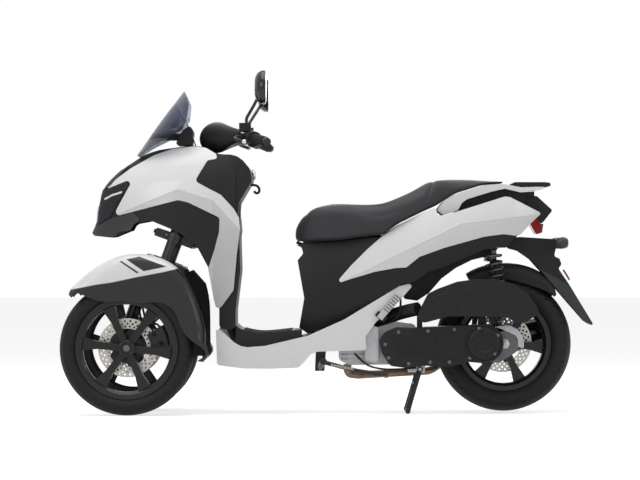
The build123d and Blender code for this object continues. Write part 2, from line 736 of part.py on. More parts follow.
shield_outline = [
    (420, 974), (366, 972), (342, 966), (318, 949), (294, 919), (287, 895), (285, 873), (333, 791),
    (335, 760), (328, 538), (346, 386), (346, 318), (407, 318), (407, 540), (364, 540), (364, 640),
    (440, 760), (440, 900),
]
shield_inner = [
    (430, 990), (372, 990), (368, 968), (344, 962), (321, 945), (298, 917), (291, 893), (289, 876),
    (337, 792), (339, 760), (332, 538), (350, 386), (350, 300), (403, 300), (403, 536), (420, 640),
    (480, 760), (480, 900),
]
with BuildPart() as shield_inside:
    add(side_slab(shield_inner, -220, 220, 18.0))
    add(plan_form(nose_stations, nose_back_x - 10, 2 * layer + 5), mode=Mode.INTERSECT)
dash_top = [
    (748, 934), (675, 984), (594, 998), (508, 1008), (466, 999), (430, 979), (433, 974), (470, 994),
    (508, 1002), (592, 992), (672, 978), (745, 929),
]
with BuildPart() as screen_stays:
    for side in (1, -1):
        add(slab([(540, 1030), (700, 1030), (700, 1054), (540, 1054)], side * 30, side * 46))
    add(plan_form(screen_stations, screen_back_x, skin_t + seat_gap), mode=Mode.INTERSECT)
with BuildPart() as leg_shield:
    add(side_slab(shield_outline, -220, 220, 20.0))
    add(side_slab(dash_top, -200, 200, 20.0))
    add(plan_form(nose_stations, nose_back_x, 2 * layer + 1), mode=Mode.INTERSECT)
    add(shield_inside.part, mode=Mode.SUBTRACT)
    add(screen_stays.part)
    add(slab([(520, 998), (538, 998), (538, 1022), (520, 1022)], -42, 42))
    add(side_slab([(578, 1008), (562, 1040), (548, 1066), (520, 1084), (508, 1060), (512, 1010)], -70, 70, 10.0))
    with BuildSketch(axis_plane(0, 280)):
        Circle(62)
    extrude(amount=200, mode=Mode.SUBTRACT)
save(leg_shield.part, "leg_shield")

# ---------------------------------------------------------------- floor and skirts
skirt_outline = [
    (419, 322), (396, 312), (351, 270), (326, 256), (301, 252), (236, 257), (76, 295), (-59, 355),
    (-267, 480), (-327, 493), (-262, 420), (-178, 345), (-139, 290), (-144, 240), (41, 235),
    (66, 225), (96, 190), (111, 175), (216, 171), (316, 172), (415, 185),
]
skirt_stations = [(440, 196, 130, 330, 560), (300, 196, 130, 330, 560), (100, 192, 130, 330, 560),
                  (-100, 174, 130, 350, 560), (-340, 150, 130, 380, 560)]


with BuildPart() as skirts:
    add(panel(cross_skin(skirt_stations, 0.0, 0.84, 0.92), skirt_outline, 12.0))
    for side in (1, -1):
        with BuildSketch(peg_plane(side, 0)):
            Rectangle(peg_lug_w + 2 * seat_gap, peg_lug_h + 2 * seat_gap)
        extrude(amount=peg_y, mode=Mode.SUBTRACT)
save(skirts.part, "skirts")

floor_top = [(346, 336), (330, 322), (300, 310), (239, 302), (117, 316), (100, 312)]
floor_under = [(100, 230), (236, 205), (346, 205)]
with BuildPart() as floorboard:
    add(slab(floor_top + floor_under, -172, 172))
    add(slab([(400, 332), (330, 318), (300, 306), (239, 298), (117, 312), (60, 300), (60, 190), (400, 190)],
             -168, 168), mode=Mode.SUBTRACT)
save(floorboard.part, "floorboard")

# ---------------------------------------------------------------- rear bodywork
tail_white = [
    (-24, 486), (-84, 555), (-147, 618), (-202, 666), (-265, 709), (-356, 754), (-403, 775), (-408, 746),
    (-432, 741), (-482, 758), (-662, 815), (-682, 813), (-803, 752), (-783, 736), (-752, 706),
    (-722, 673), (-702, 668), (-657, 674), (-582, 664), (-432, 622), (-341, 589), (-291, 549),
    (-251, 547), (-174, 533), (-84, 506),
]
side_black = [
    (122, 634), (100, 624), (94, 601), (115, 576), (90, 434), (109, 323), (76, 300), (-59, 360),
    (-267, 485), (-327, 498), (-376, 533), (-432, 550), (-582, 616), (-632, 623), (-667, 623), (-700, 662),
    (-722, 676), (-752, 709), (-788, 744), (-737, 783), (-682, 809), (-662, 811), (-432, 738),
    (-404, 742), (-356, 750), (-265, 705), (-202, 662), (-166, 662), (-38, 646),
]
save(panel(cross_skin(rear_stations, 0.0, 0.74, 0.64), tail_white, 10.0), "tail_cowls")
front_lip = [(122, 634), (100, 624), (94, 601), (115, 576), (90, 434), (109, 323), (76, 300)]
with BuildPart() as front_plate:
    add(cross_form(rear_stations, layer + skin_t + seat_gap, 0.74, 0.64))
    add(slab(front_lip + [(x - skin_t, z) for x, z in reversed(front_lip)], -200, 200), mode=Mode.INTERSECT)
with BuildPart() as side_covers:
    add(panel(cross_skin(rear_stations, layer, 0.74, 0.64), side_black, 10.0))
    add(front_plate.part)
save(side_covers.part, "side_covers")

# Upper line of the seat from its nose to the passenger's end, then the seam back along its pan.
seat_top = [(126, 672), (116, 706), (94, 738), (57, 768), (7, 780), (-76, 781), (-154, 779), (-204, 784),
            (-259, 803), (-314, 828), (-356, 852), (-395, 872), (-450, 876), (-540, 876), (-664, 873)]
seat_seam = [(-664, 866), (-583, 861), (-482, 829), (-403, 780), (-356, 759), (-265, 714), (-205, 672),
             (-166, 668), (-38, 652), (98, 646), (124, 652)]
seat_plan = [(123, 60), (100, 96), (50, 126), (-60, 146), (-180, 150), (-290, 146), (-383, 124), (-500, 98),
             (-640, 90), (-664, 84)]
seat_round = 38.0
hinge_x = 114.0
hinge_z = 642.0
hinge_pin_r = 5.0
knuckle_r = 7.5
knuckle_y = 12.0
knuckle_w = 12.0
ear_r = 6.5
ear_y = knuckle_y + knuckle_w + 1.0
ear_w = 8.0
with BuildPart() as seat_outline:
    with BuildSketch(Plane.XY.offset(600)):
        with BuildLine():
            Spline(*seat_plan)
            Line(seat_plan[-1], (seat_plan[-1][0], -seat_plan[-1][1]))
            Spline(*[(x, -y) for x, y in reversed(seat_plan)])
            Line((seat_plan[0][0], -seat_plan[0][1]), seat_plan[0])
        make_face()
    extrude(amount=320)
with BuildPart() as seat:
    with BuildSketch(Plane.XZ.offset(-160)):
        with BuildLine():
            Spline(*seat_top)
            Polyline(seat_top[-1], *seat_seam, seat_top[0])
        make_face()
    extrude(amount=320)
    add(seat_outline.part, mode=Mode.INTERSECT)
    fillet([edge for edge in seat.edges() if edge.length > 500 and (edge @ 0.5).Z > 745], radius=seat_round)
    for side in (1, -1):
        add(slab([(hinge_x + knuckle_r, hinge_z), (hinge_x + knuckle_r, hinge_z + 16),
                  (hinge_x - knuckle_r, hinge_z + 16), (hinge_x - knuckle_r, hinge_z)],
                 side * knuckle_y, side * (knuckle_y + knuckle_w)))
        add(drum(hinge_x, hinge_z, knuckle_r, side * knuckle_y, side * (knuckle_y + knuckle_w)))
    add(drum(hinge_x, hinge_z, hinge_pin_r + run_gap, -ear_y, ear_y), mode=Mode.SUBTRACT)
save(seat.part, "seat")

box_top = 632.0
box_outline = [(70, box_top), (64, 440), (-60, 440), (-262, 600), (-285, box_top)]
box_inside = [(67, box_top + 40), (61, 443), (-59, 443), (-259, 602), (-310, box_top + 40)]
with BuildPart() as storage_box:
    add(side_slab(box_outline, -92, 92, 24.0))
    add(side_slab(box_inside, -89, 89, 20.0), mode=Mode.SUBTRACT)
    for side in (1, -1):
        add(slab([(66, 602), (86, 616), (hinge_x - 19, hinge_z - 13), (hinge_x - 1, hinge_z - ear_r),
                  (hinge_x - 4, hinge_z + 4), (66, 631)], side * ear_y, side * (ear_y + ear_w)))
        add(drum(hinge_x, hinge_z, ear_r, side * ear_y, side * (ear_y + ear_w)))
    add(drum(hinge_x, hinge_z, hinge_pin_r, -ear_y - ear_w, ear_y + ear_w))
save(storage_box.part, "storage_box")

rail_white = [
    (-407, 764), (-432, 795), (-482, 826), (-583, 858), (-648, 863), (-683, 858), (-723, 850), (-808, 852),
    (-808, 844), (-773, 834), (-723, 831), (-663, 845), (-613, 834), (-522, 806), (-502, 791), (-486, 762),
    (-432, 745),
]
with BuildPart() as grab_rail:
    for side in (1, -1):
        add(side_slab(rail_white, side * 102 - 12, side * 102 + 12, 8.0))
save(grab_rail.part, "grab_rail")

carrier_top = 870.0
rack_hole_r = 3.25
carrier_outline = [(-686, 863), (-703, carrier_top), (-813, carrier_top), (-833, 868), (-839, 857), (-826, 852),
                   (-731, 854)]
tail_outline = [
    (-690, 840), (-731, 827), (-787, 817), (-845, 764), (-812, 722), (-800, 712), (-785, 735),
    (-745, 780), (-700, 806),
]
with BuildPart() as rear_carrier:
    add(side_slab(carrier_outline, -88, 88, 5.0))
    with BuildSketch(Plane.XY.offset(carrier_top - 22)):
        with Locations((-757, 0)):
            with GridLocations(90, 120, 2, 2):
                Circle(rack_hole_r)
    extrude(amount=40, mode=Mode.SUBTRACT)
    add(side_slab(tail_outline, -70, 70, 8.0))
    add(slab([(-735, 822), (-735, 856), (-775, 856), (-775, 815)], -89.8, 89.8))
    add(slab([(-709, 724.3), (-691, 724.3), (-691, 815), (-709, 815)], -25, 25))
save(rear_carrier.part, "rear_carrier")

with BuildPart() as rear_lamps:
    add(side_slab([(-783, 673), (-806, 680), (-811, 716), (-799.7, 711.8), (-784.7, 734.8), (-772, 742),
                   (-756, 722)], -66, 66, 6.0))
    for side in (1, -1):
        for x, r in ((-852, 14), (-866, 22), (-888, 21), (-899, 12)):
            with BuildSketch(Plane.YZ.offset(x)):
                with Locations((side * 128, 641)):
                    Ellipse(1.7 * r, r)
        loft()
save(rear_lamps.part, "rear_lamps")

mud_outline = [
    (-700, 662), (-722, 664), (-880, 654), (-892, 643), (-860, 630), (-852, 590), (-872, 583), (-880, 560),
    (-868, 545), (-911, 481), (-1007.4, 322), (-968, 346), (-794, 545), (-763, 580),
    (-718, 611), (-673, 623),
]
hugger_stations = [(62, 298, 262), (80, 302, 250), (98, 304, 240), (116, 303, 242), (130, 290, 254), (137, 272, 258)]
with BuildPart() as rear_mudguard:
    add(side_slab(mud_outline, -58, 58, 10.0))
    add(side_slab([(x + 6, z - 9) for x, z in mud_outline], -52, 52, 8.0), mode=Mode.SUBTRACT)
    for side in (1, -1):
        with BuildSketch(Plane.XZ.offset(-side * 58)):
            with Locations((-872, 642)):
                Circle(7)
        extrude(amount=-side * 31)
    add(slab([(-711, 650), (-689, 650), (-689, 699.7), (-711, 699.7)], -30, 30))
    add(guard(rear_axle_x, 0, rear_axle_z, 74.0, 3.0, hugger_stations))
    add(slab([(-560, 334.8), (-540, 333.9), (-556, 520), (-580, 520)], 72.5, 80))
save(rear_mudguard.part, "rear_mudguard")


# ---------------------------------------------------------------- engine, drive and exhaust
stand_x = -345.0
stand_z = 166.0
cleaner_y = 156.0
engine_side = [(-40, 200), (-40, 300), (-66, 338), (-250, 345), (-330, 335), (-335, 205), (-300, 184), (-80, 182)]
case_outline = [
    (-192, 274), (-211, 305), (-257, 324), (-307, 324), (-571, 335), (-628, 322), (-647, 273), (-619, 216),
    (-581, 192), (-524, 197), (-457, 179), (-357, 183), (-296, 174), (-232, 182), (-202, 231),
]
with BuildPart() as engine:
    add(side_slab(engine_side, -78, 76 - seat_gap, 20.0))
    add(side_slab([(-138, 200), (-138, 325), (-188, 330), (-188, 190)], 74, 132, 14.0))
    add(side_slab([(-300, 300), (rear_axle_x + 22, 300), (rear_axle_x - 38, 262), (rear_axle_x + 22, 226), (-300, 215)], -104, -92, 20.0))
    add(slab([(-290, 220), (-290, 300), (-330, 300), (-330, 220)], -104, -70))
    add(drum(rear_axle_x, rear_axle_z, 26, -104, -86))
    add(side_slab([(stand_x - 14, stand_z - 12), (stand_x - 14, stand_z + 60), (stand_x + 40, stand_z + 60),
                   (stand_x + 16, stand_z - 12)], -14, 14, 10.0))
    add(drum(stand_x, stand_z, 6, -96, 96))
    add(drum(rear_axle_x, rear_axle_z, axle_r, -112, 74))
save(engine.part, "engine")

with BuildPart() as cvt_case:
    add(side_slab(case_outline, 76, 148, 30.0))
    add(side_slab([(x + 2, z) for x, z in case_outline], 148, 186, 24.0))
    add(side_slab([(-560, 330), (-640, 322), (-712, 290), (-712, 235), (-640, 190), (-560, 200)], 76, 108, 26.0))
    add(drum(-581, 266, 62, 186, 196))
    add(slab([(-352, 312), (-352, 392), (-332, 392), (-332, 312)], 130, cleaner_y - seat_gap))
    add(slab([(-590, 318), (-590, 392), (-560, 392), (-560, 318)], 130, cleaner_y - seat_gap))
    add(drum(rear_axle_x, rear_axle_z, axle_r + run_gap, 70, 90), mode=Mode.SUBTRACT)
save(cvt_case.part, "cvt_case")

cleaner_outline = [
    (-372, 451), (-410, 470), (-481, 496), (-552, 506), (-623, 506), (-695, 487), (-742, 454), (-785, 392),
    (-778, 373), (-733, 344), (-695, 342), (-676, 363), (-609, 366), (-452, 368), (-310, 330),
]
with BuildPart() as air_cleaner:
    add(side_slab(cleaner_outline, cleaner_y, cleaner_y + 50, 26.0))
save(air_cleaner.part, "air_cleaner")

shock_top = (-617, 632)
shock_low = (-655, 345)
spring_r = 30.0
with BuildPart() as shocks:
    lean = Vector(shock_top[0] - shock_low[0], 0, shock_top[1] - shock_low[1])
    span = lean.length
    for side in (1, -1):
        foot = Plane(origin=(shock_low[0], side * 112, shock_low[1]), x_dir=(0, 1, 0), z_dir=lean)
        with BuildSketch(foot.offset(16)):
            Circle(20)
        extrude(amount=110)
        with BuildSketch(foot.offset(60)):
            Circle(spring_r)
            Circle(spring_r - 9, mode=Mode.SUBTRACT)
        extrude(amount=span - 100)
        with BuildSketch(foot.offset(span - 40)):
            Circle(spring_r)
        extrude(amount=8)
        with BuildSketch(foot.offset(52)):
            Circle(spring_r)
        extrude(amount=8)
        with BuildSketch(foot):
            Circle(7)
        extrude(amount=span - 12)
        for x, z in (shock_top, shock_low):
            add(drum(x, z, 16, side * 102, side * 122))
            add(drum(x, z, 9.3, side * 90, side * 130), mode=Mode.SUBTRACT)
save(shocks.part, "shocks")

header_path = [(-74, -40, 181.7), (-74, -40, 144), (-116, -60, 139), (-210, -128, 142), (-390, -138, 152), (-470, -160, 205),
               (-520, -166, 232)]
muffler_low = (-500, 222)
muffler_high = (-880, 322)
with BuildPart() as exhaust:
    add(tube(header_path, 15.0, 60.0))
    rise = Vector(muffler_high[0] - muffler_low[0], 0, muffler_high[1] - muffler_low[1])
    can = Plane(origin=(muffler_low[0], -168, muffler_low[1]), x_dir=(0, 1, 0), z_dir=rise)
    for at, r in ((0, 28), (40, 44), (100, 52), (190, 55), (280, 55), (rise.length - 40, 51), (rise.length, 40)):
        with BuildSketch(can.offset(at)):
            Ellipse(0.86 * r, r)
    loft()
    with BuildSketch(can.offset(rise.length - 10)):
        Circle(14)
    extrude(amount=26)
    add(slab([(-600, 270), (-600, 300), (-640, 300), (-640, 260)], -130, -104.3))
save(exhaust.part, "exhaust")

with BuildPart() as rear_brake:
    add(slab(annulus_sector(rear_axle_x, rear_axle_z, 84, 134, 60, 98), rear_disc_y - 17, rear_disc_y - 3.5))
    add(slab(annulus_sector(rear_axle_x, rear_axle_z, 116, 134, 60, 98), rear_disc_y - 17, rear_disc_y + 14))
    add(slab(annulus_sector(rear_axle_x, rear_axle_z, 84, 134, 60, 98), rear_disc_y + 3.5, rear_disc_y + 14))
    add(slab(annulus_sector(rear_axle_x, rear_axle_z, 30, 96, 66, 92), -91.7, rear_disc_y - 17))
save(rear_brake.part, "rear_brake")

# ---------------------------------------------------------------- stands and footpegs
leg_y = 84.0
leg_r = 11.0
foot_x = stand_x + 46
with BuildPart() as centre_stand:
    for side in (1, -1):
        with BuildSketch(Plane.XZ.offset(-max(side * 15.0, side * 95.0))):
            with Locations((stand_x, stand_z)):
                Circle(leg_r)
                Circle(6 + run_gap, mode=Mode.SUBTRACT)
        extrude(amount=80)
        leg_dir = Vector(foot_x - stand_x, 0, 10 - stand_z).normalized()
        start = Vector(stand_x, side * leg_y, stand_z) + leg_dir * 8.5
        stop = Vector(foot_x, side * (leg_y + 0), 10)
        with BuildSketch(Plane(origin=start, z_dir=leg_dir)):
            Circle(leg_r - 1)
        extrude(amount=(stop - start).length)
        add(drum(foot_x, 10, 10, side * 70, side * 112))
    brace = Vector(stand_x, 0, stand_z) + leg_dir * 60
    add(drum(brace.X, brace.Z, 8, -leg_y, leg_y))
save(centre_stand.part, "centre_stand")

side_foot = Vector(-196, 168, 150)
with BuildPart() as side_stand:
    along = (side_foot - side_pivot).normalized()
    add(tube([tuple(side_pivot), tuple(side_pivot + along * 120 + Vector(0, 0, -6)), tuple(side_foot)], 8.0))
    with BuildSketch(Plane.XY.offset(side_foot.Z - 5)):
        with Locations((side_foot.X, side_foot.Y)):
            SlotOverall(50, 30)
    extrude(amount=10)
    with BuildSketch(Plane(origin=side_pivot, z_dir=side_axis)):
        Circle(14)
    extrude(amount=8, both=True)
    with BuildSketch(Plane(origin=side_pivot, z_dir=side_axis)):
        Circle(5 + run_gap)
    extrude(amount=30, both=True, mode=Mode.SUBTRACT)
save(side_stand.part, "side_stand")

along = Vector(-peg_axis.Z, 0, peg_axis.X)
for name, side in (("left", 1), ("right", -1)):
    base = Vector(peg_x, side * peg_y, peg_z)
    with BuildPart() as footpeg:
        with BuildSketch(Plane(origin=base - along * 9, x_dir=(0, 1, 0), z_dir=along)):
            RectangleRounded(16, 26, 5)
        extrude(amount=115)
        with BuildSketch(Plane(origin=base, z_dir=peg_axis)):
            Circle(peg_pin_r + run_gap)
        extrude(amount=14, both=True, mode=Mode.SUBTRACT)
    save(footpeg.part, "footpeg_" + name)
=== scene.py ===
# %% [markdown]
# # A three-wheel motor scooter, dressed for the studio
# The CAD model is loaded as a fixed frame, in metres, with +X forward, +Y to the rider's left and +Z
# up. Nothing in it moves. Visual pieces are placed in that frame: from the boxes of its nodes, by rays
# dropped onto its surfaces, or at measured places.

# %% Load the frame
import math

import bmesh
import bpy
from mathutils import Matrix, Vector
from mathutils.bvhtree import BVHTree


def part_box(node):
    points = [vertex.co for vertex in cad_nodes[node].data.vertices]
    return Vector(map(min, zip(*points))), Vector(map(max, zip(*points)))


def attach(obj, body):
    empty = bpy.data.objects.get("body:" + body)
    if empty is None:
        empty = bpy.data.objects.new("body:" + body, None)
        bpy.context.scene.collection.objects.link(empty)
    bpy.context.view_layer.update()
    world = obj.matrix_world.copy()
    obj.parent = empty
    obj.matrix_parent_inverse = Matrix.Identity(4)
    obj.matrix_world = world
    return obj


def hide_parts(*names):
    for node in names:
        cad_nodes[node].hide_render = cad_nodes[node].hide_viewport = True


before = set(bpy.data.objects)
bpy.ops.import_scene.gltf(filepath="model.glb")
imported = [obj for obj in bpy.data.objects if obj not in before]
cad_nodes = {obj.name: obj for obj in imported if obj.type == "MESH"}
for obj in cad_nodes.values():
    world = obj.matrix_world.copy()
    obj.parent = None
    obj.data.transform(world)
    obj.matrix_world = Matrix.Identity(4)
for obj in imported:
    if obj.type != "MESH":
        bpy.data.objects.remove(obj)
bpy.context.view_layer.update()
scene = bpy.context.scene


def mm(*points):
    """Points given in millimetres, as the frame's metres."""
    return [tuple(c / 1000 for c in point) for point in points]


def link_object(name, data):
    """A new object in the scene."""
    thing = bpy.data.objects.new(name, data)
    scene.collection.objects.link(thing)
    return thing


# %% [markdown]
# ## Camera
# The side view of a scooter is taken from far away with a long lens, so that both front wheels
# nearly cover each other. A level camera at hip height could also be shifted; turning it up by a
# fifth of a degree is simpler and keeps the vertical lines upright.

# %% Camera
camera_data = bpy.data.cameras.new("side_camera")
camera_data.lens = 178.2
camera_data.sensor_width = 36.0
camera = link_object("side_camera", camera_data)
camera.location = (0.0308, 12.0, 0.607)
camera.rotation_euler = (math.radians(90.217), 0.0, math.radians(180.0))
scene.camera = camera
scene.view_settings.view_transform = "Standard"

# %% [markdown]
# ## Shader building blocks
# A material is a small tree of nodes. These helpers add a node, set its inputs and link it in one
# call, so that each finish below reads as a recipe. Effects that many finishes share, such as the
# grain of moulded plastic, worn edges and settled dust, are node groups with named inputs.


# %% Node helpers
def feed(tree, sockets, values):
    """Set input sockets to numbers, or link other sockets into them."""
    for key, value in values.items():
        if isinstance(value, bpy.types.NodeSocket):
            tree.links.new(value, sockets[key])
        else:
            sockets[key].default_value = value


def add_node(tree, kind, values=None, **settings):
    """Add a shader node, set its properties, then feed its inputs."""
    node = tree.nodes.new("ShaderNode" + kind)
    for key, value in settings.items():
        setattr(node, key, value)
    feed(tree, node.inputs, values or {})
    return node


def calc(tree, operation, *values, clamp=False):
    """Output of one Math node; numbers or sockets go in."""
    return add_node(tree, "Math", dict(enumerate(values)), operation=operation, use_clamp=clamp).outputs[0]


def map_range(tree, value, from_low, from_high, to_low=0.0, to_high=1.0):
    """Carry a value from one range into another, held at its ends."""
    return add_node(tree, "MapRange", {"Value": value, "From Min": from_low, "From Max": from_high,
                                       "To Min": to_low, "To Max": to_high}).outputs[0]


def blend(tree, share, first, second):
    """Mix two colours, each a socket or (r, g, b)."""
    first, second = [c if isinstance(c, bpy.types.NodeSocket) else (*c, 1.0) for c in (first, second)]
    return add_node(tree, "Mix", {0: share, 6: first, 7: second}, data_type="RGBA").outputs[2]


def place_in(tree):
    """The shaded point in the object's own coordinates."""
    return add_node(tree, "TexCoord").outputs["Object"]


def split(tree, vector):
    """X, Y and Z sockets of a vector."""
    return add_node(tree, "SeparateXYZ", {"Vector": vector}).outputs


def noise(tree, scale, detail=2.0):
    """A soft noise in the object's own coordinates."""
    values = {"Vector": place_in(tree), "Scale": scale, "Detail": detail}
    return add_node(tree, "TexNoise", values).outputs["Fac"]


def new_group(name, inputs, outputs):
    """A node group with float inputs and outputs; gives its own input and output sockets."""
    group = bpy.data.node_groups.new(name, "ShaderNodeTree")
    kind = "NodeSocketFloat"
    for label, default in inputs.items():
        group.interface.new_socket(name=label, in_out="INPUT", socket_type=kind).default_value = default
    for label in outputs:
        group.interface.new_socket(name=label, in_out="OUTPUT", socket_type=kind)
    return group, group.nodes.new("NodeGroupInput").outputs, group.nodes.new("NodeGroupOutput").inputs


# %% [markdown]
# Moulded plastic has a fine leathery grain from the tool it was pressed in. It could be modelled by
# displacement, but at half a millimetre a bump from two noises looks the same and costs nothing.

# %% Grain group
grain_group, grain_in, grain_out = new_group(
    "moulded_grain", {"Size": 600.0, "Coarse": 40.0, "Depth": 0.3}, ["Height", "Patch"])
grain_height = calc(grain_group, "MULTIPLY", noise(grain_group, grain_in["Size"]), grain_in["Depth"])
feed(grain_group, grain_out, {"Height": grain_height, "Patch": noise(grain_group, grain_in["Coarse"], 4.0)})

# %% [markdown]
# Edges that hands, boots and cloths pass over are rubbed paler or shinier. Cycles knows how sharply
# a surface turns (its pointiness), and a noise breaks that line up so the wear is not even.

# %% Edge wear group
wear_group, wear_in, wear_out = new_group("edge_wear", {"Amount": 0.5, "Breakup": 60.0}, ["Mask"])
wear_edge = map_range(wear_group, add_node(wear_group, "NewGeometry").outputs["Pointiness"], 0.52, 0.60)
wear_mask = calc(wear_group, "MULTIPLY", wear_edge, noise(wear_group, wear_in["Breakup"], 5.0))
feed(wear_group, wear_out, {"Mask": calc(wear_group, "MULTIPLY", wear_mask, wear_in["Amount"], clamp=True)})

# %% [markdown]
# Dust settles on faces that look up and stays away from those that look down. The mask is the
# upward part of the surface normal, broken up by a soft noise.

# %% Dust group
dust_group, dust_in, dust_out = new_group("settled_dust", {"Amount": 0.1, "Scale": 9.0}, ["Mask"])
dust_up = split(dust_group, add_node(dust_group, "NewGeometry").outputs["Normal"])["Z"]
dust_mask = calc(dust_group, "MULTIPLY", map_range(dust_group, dust_up, 0.1, 1.0),
                 noise(dust_group, dust_in["Scale"], 6.0))
feed(dust_group, dust_out, {"Mask": calc(dust_group, "MULTIPLY", dust_mask, dust_in["Amount"], clamp=True)})

# %% [markdown]
# ## Finishes
# One recipe covers most of the scooter's finishes: a base colour that drifts a little, a bump from
# the grain group, pale rubbed edges and a trace of dust. Plastic, paint and metal differ in the
# numbers they give it, and metal and gloss sit on the shader's own sockets.

# %% The common recipe
DUST_COLOUR = (0.45, 0.43, 0.40)
ROUGHNESS_DRIFT = 0.06
GRAIN_HEIGHT = 0.0004


def new_material(name):
    """A material made of nodes."""
    material = bpy.data.materials.new(name)
    material.use_nodes = True
    return material


def surface(material):
    """A material's tree, and its shader's input sockets."""
    return material.node_tree, material.node_tree.nodes["Principled BSDF"].inputs


def add_bump(material, height, strength, distance):
    """Lay one more bump over those a finish already has."""
    tree, shader = surface(material)
    values = {"Height": height, "Strength": strength, "Distance": distance}
    for link in shader["Normal"].links:
        values["Normal"] = link.from_socket
    feed(tree, shader, {"Normal": add_node(tree, "Bump", values).outputs[0]})


def recolour(material, mask, colour):
    """Paint a colour over a finish wherever the mask socket is one."""
    tree, shader = surface(material)
    feed(tree, shader, {"Base Color": blend(tree, mask, shader["Base Color"].links[0].from_socket, colour)})


def finish(name, colour, roughness=0.5, metallic=0.0, coat=0.0, grain=(600.0, 0.3, 0.2), drift=0.12,
           wear=0.25, wear_colour=None, dust=0.06, specular=0.5):
    """A procedural material: drifting colour, grain bump, worn edges and dust."""
    material = new_material(name)
    tree, shader = surface(material)
    size, depth, strength = grain
    grained = add_node(tree, "Group", {"Size": size, "Depth": depth}, node_tree=grain_group).outputs
    worn = add_node(tree, "Group", {"Amount": wear}, node_tree=wear_group).outputs["Mask"]
    dusty = add_node(tree, "Group", {"Amount": dust}, node_tree=dust_group).outputs["Mask"]
    base = blend(tree, grained["Patch"], [c * (1.0 - drift) for c in colour],
                 [min(1.0, c * (1.0 + drift)) for c in colour])
    base = blend(tree, worn, base, wear_colour or [min(1.0, c * 1.6 + 0.05) for c in colour])
    feed(tree, shader, {
        "Base Color": blend(tree, dusty, base, DUST_COLOUR),
        "Roughness": map_range(tree, grained["Patch"], 0.0, 1.0, max(0.02, roughness - ROUGHNESS_DRIFT),
                               min(1.0, roughness + ROUGHNESS_DRIFT)),
        "Metallic": metallic, "Coat Weight": coat, "Coat Roughness": 0.04, "Specular IOR Level": specular})
    add_bump(material, grained["Height"], strength, GRAIN_HEIGHT)
    return material


def above_line(tree, points, soft=0.0015):
    """Mask that is one above a broken line of (x, z) points seen from the side, and zero below it."""
    place = split(tree, place_in(tree))
    xs, zs = zip(*points)
    z_low, z_high = min(zs) - 0.01, max(zs) + 0.01
    curve = add_node(tree, "FloatCurve", {"Value": map_range(tree, place["X"], xs[0], xs[-1])})
    line = curve.mapping.curves[0]
    while len(line.points) < len(points):
        line.points.new(0.5, 0.5)
    for spot, (x, z) in zip(line.points, points):
        spot.location = ((x - xs[0]) / (xs[-1] - xs[0]), (z - z_low) / (z_high - z_low))
        spot.handle_type = "VECTOR"
    curve.mapping.update()
    height = calc(tree, "MULTIPLY_ADD", curve.outputs[0], z_high - z_low, z_low)
    return map_range(tree, calc(tree, "SUBTRACT", place["Z"], height), -soft, soft)


def four_sided(tree, corners, soft=0.0006):
    """Mask of a four-sided patch of (x, z) corners seen from the side, counted anticlockwise."""
    spot = split(tree, place_in(tree))
    mask = 1.0
    for (x1, z1), (x2, z2) in zip(corners, corners[1:] + corners[:1]):
        length = math.hypot(x2 - x1, z2 - z1)
        lean_x, lean_z = (z1 - z2) / length, (x2 - x1) / length
        edge = lean_x * x1 + lean_z * z1
        reach = calc(tree, "ADD", calc(tree, "MULTIPLY", spot["X"], lean_x),
                     calc(tree, "MULTIPLY", spot["Z"], lean_z))
        mask = calc(tree, "MULTIPLY", mask, map_range(tree, reach, edge - soft, edge + soft))
    return mask


def crease(material, points, slope=0.42):
    """Turn a finish's shading downwards below a broken line of (x, z) points, as a folded panel does."""
    tree = material.node_tree
    spot = split(tree, place_in(tree))
    drop = None
    for (x1, z1), (x2, z2) in zip(points, points[1:]):
        lean = (z2 - z1) / (x2 - x1)
        line = calc(tree, "ADD", calc(tree, "MULTIPLY", spot["X"], lean), z1 - lean * x1)
        below = calc(tree, "SUBTRACT", line, spot["Z"])
        drop = below if drop is None else calc(tree, "MINIMUM", drop, below)
    add_bump(material, calc(tree, "MULTIPLY", calc(tree, "MAXIMUM", drop, 0.0), -slope), 1.0, 1.0)


# %% [markdown]
# The body's white is gloss paint under clear lacquer; the panels below it are grained, unpainted
# plastic; frames, forks and wheels are satin black paint over metal. The numbers are reflectances.

# %% Finishes of the body
WHITE = (0.74, 0.74, 0.735)
SMOOTH_PAINT = (300.0, 0.1, 0.04)
white, nose_white, tail_white = [
    finish(name, WHITE, 0.34, coat=0.3, grain=SMOOTH_PAINT, drift=0.02, wear=0.0, dust=0.02, specular=0.4)
    for name in ("white_paint", "white_nose_paint", "white_tail_paint")]
crease(nose_white, mm((830, 735), (560, 842), (430, 800), (330, 690)))
crease(tail_white, mm((-100, 520), (-500, 715), (-800, 750)), 0.3)
matte_black = finish("grained_black_plastic", (0.012, 0.012, 0.0135), 0.5, grain=(900.0, 0.6, 0.35),
                     wear=0.2, wear_colour=(0.035, 0.035, 0.037), specular=0.2, dust=0.03)
gloss_black = finish("gloss_black_plastic", (0.008, 0.008, 0.009), 0.16, coat=0.25, grain=(300.0, 0.1, 0.05),
                     wear=0.1, specular=0.3, dust=0.02)
chin_grey = finish("dark_grey_plastic", (0.026, 0.027, 0.03), 0.42, grain=(900.0, 0.5, 0.3), wear=0.2,
                   specular=0.3, dust=0.03)
satin_black = finish("satin_black_paint", (0.010, 0.010, 0.011), 0.34, coat=0.1, grain=(500.0, 0.3, 0.12),
                     wear=0.35, wear_colour=(0.06, 0.06, 0.063), specular=0.25, dust=0.03)
wheel_black = finish("wheel_black_paint", (0.007, 0.007, 0.008), 0.27, coat=0.15, grain=(400.0, 0.2, 0.08),
                     wear=0.2, wear_colour=(0.04, 0.04, 0.043), specular=0.25, dust=0.02)
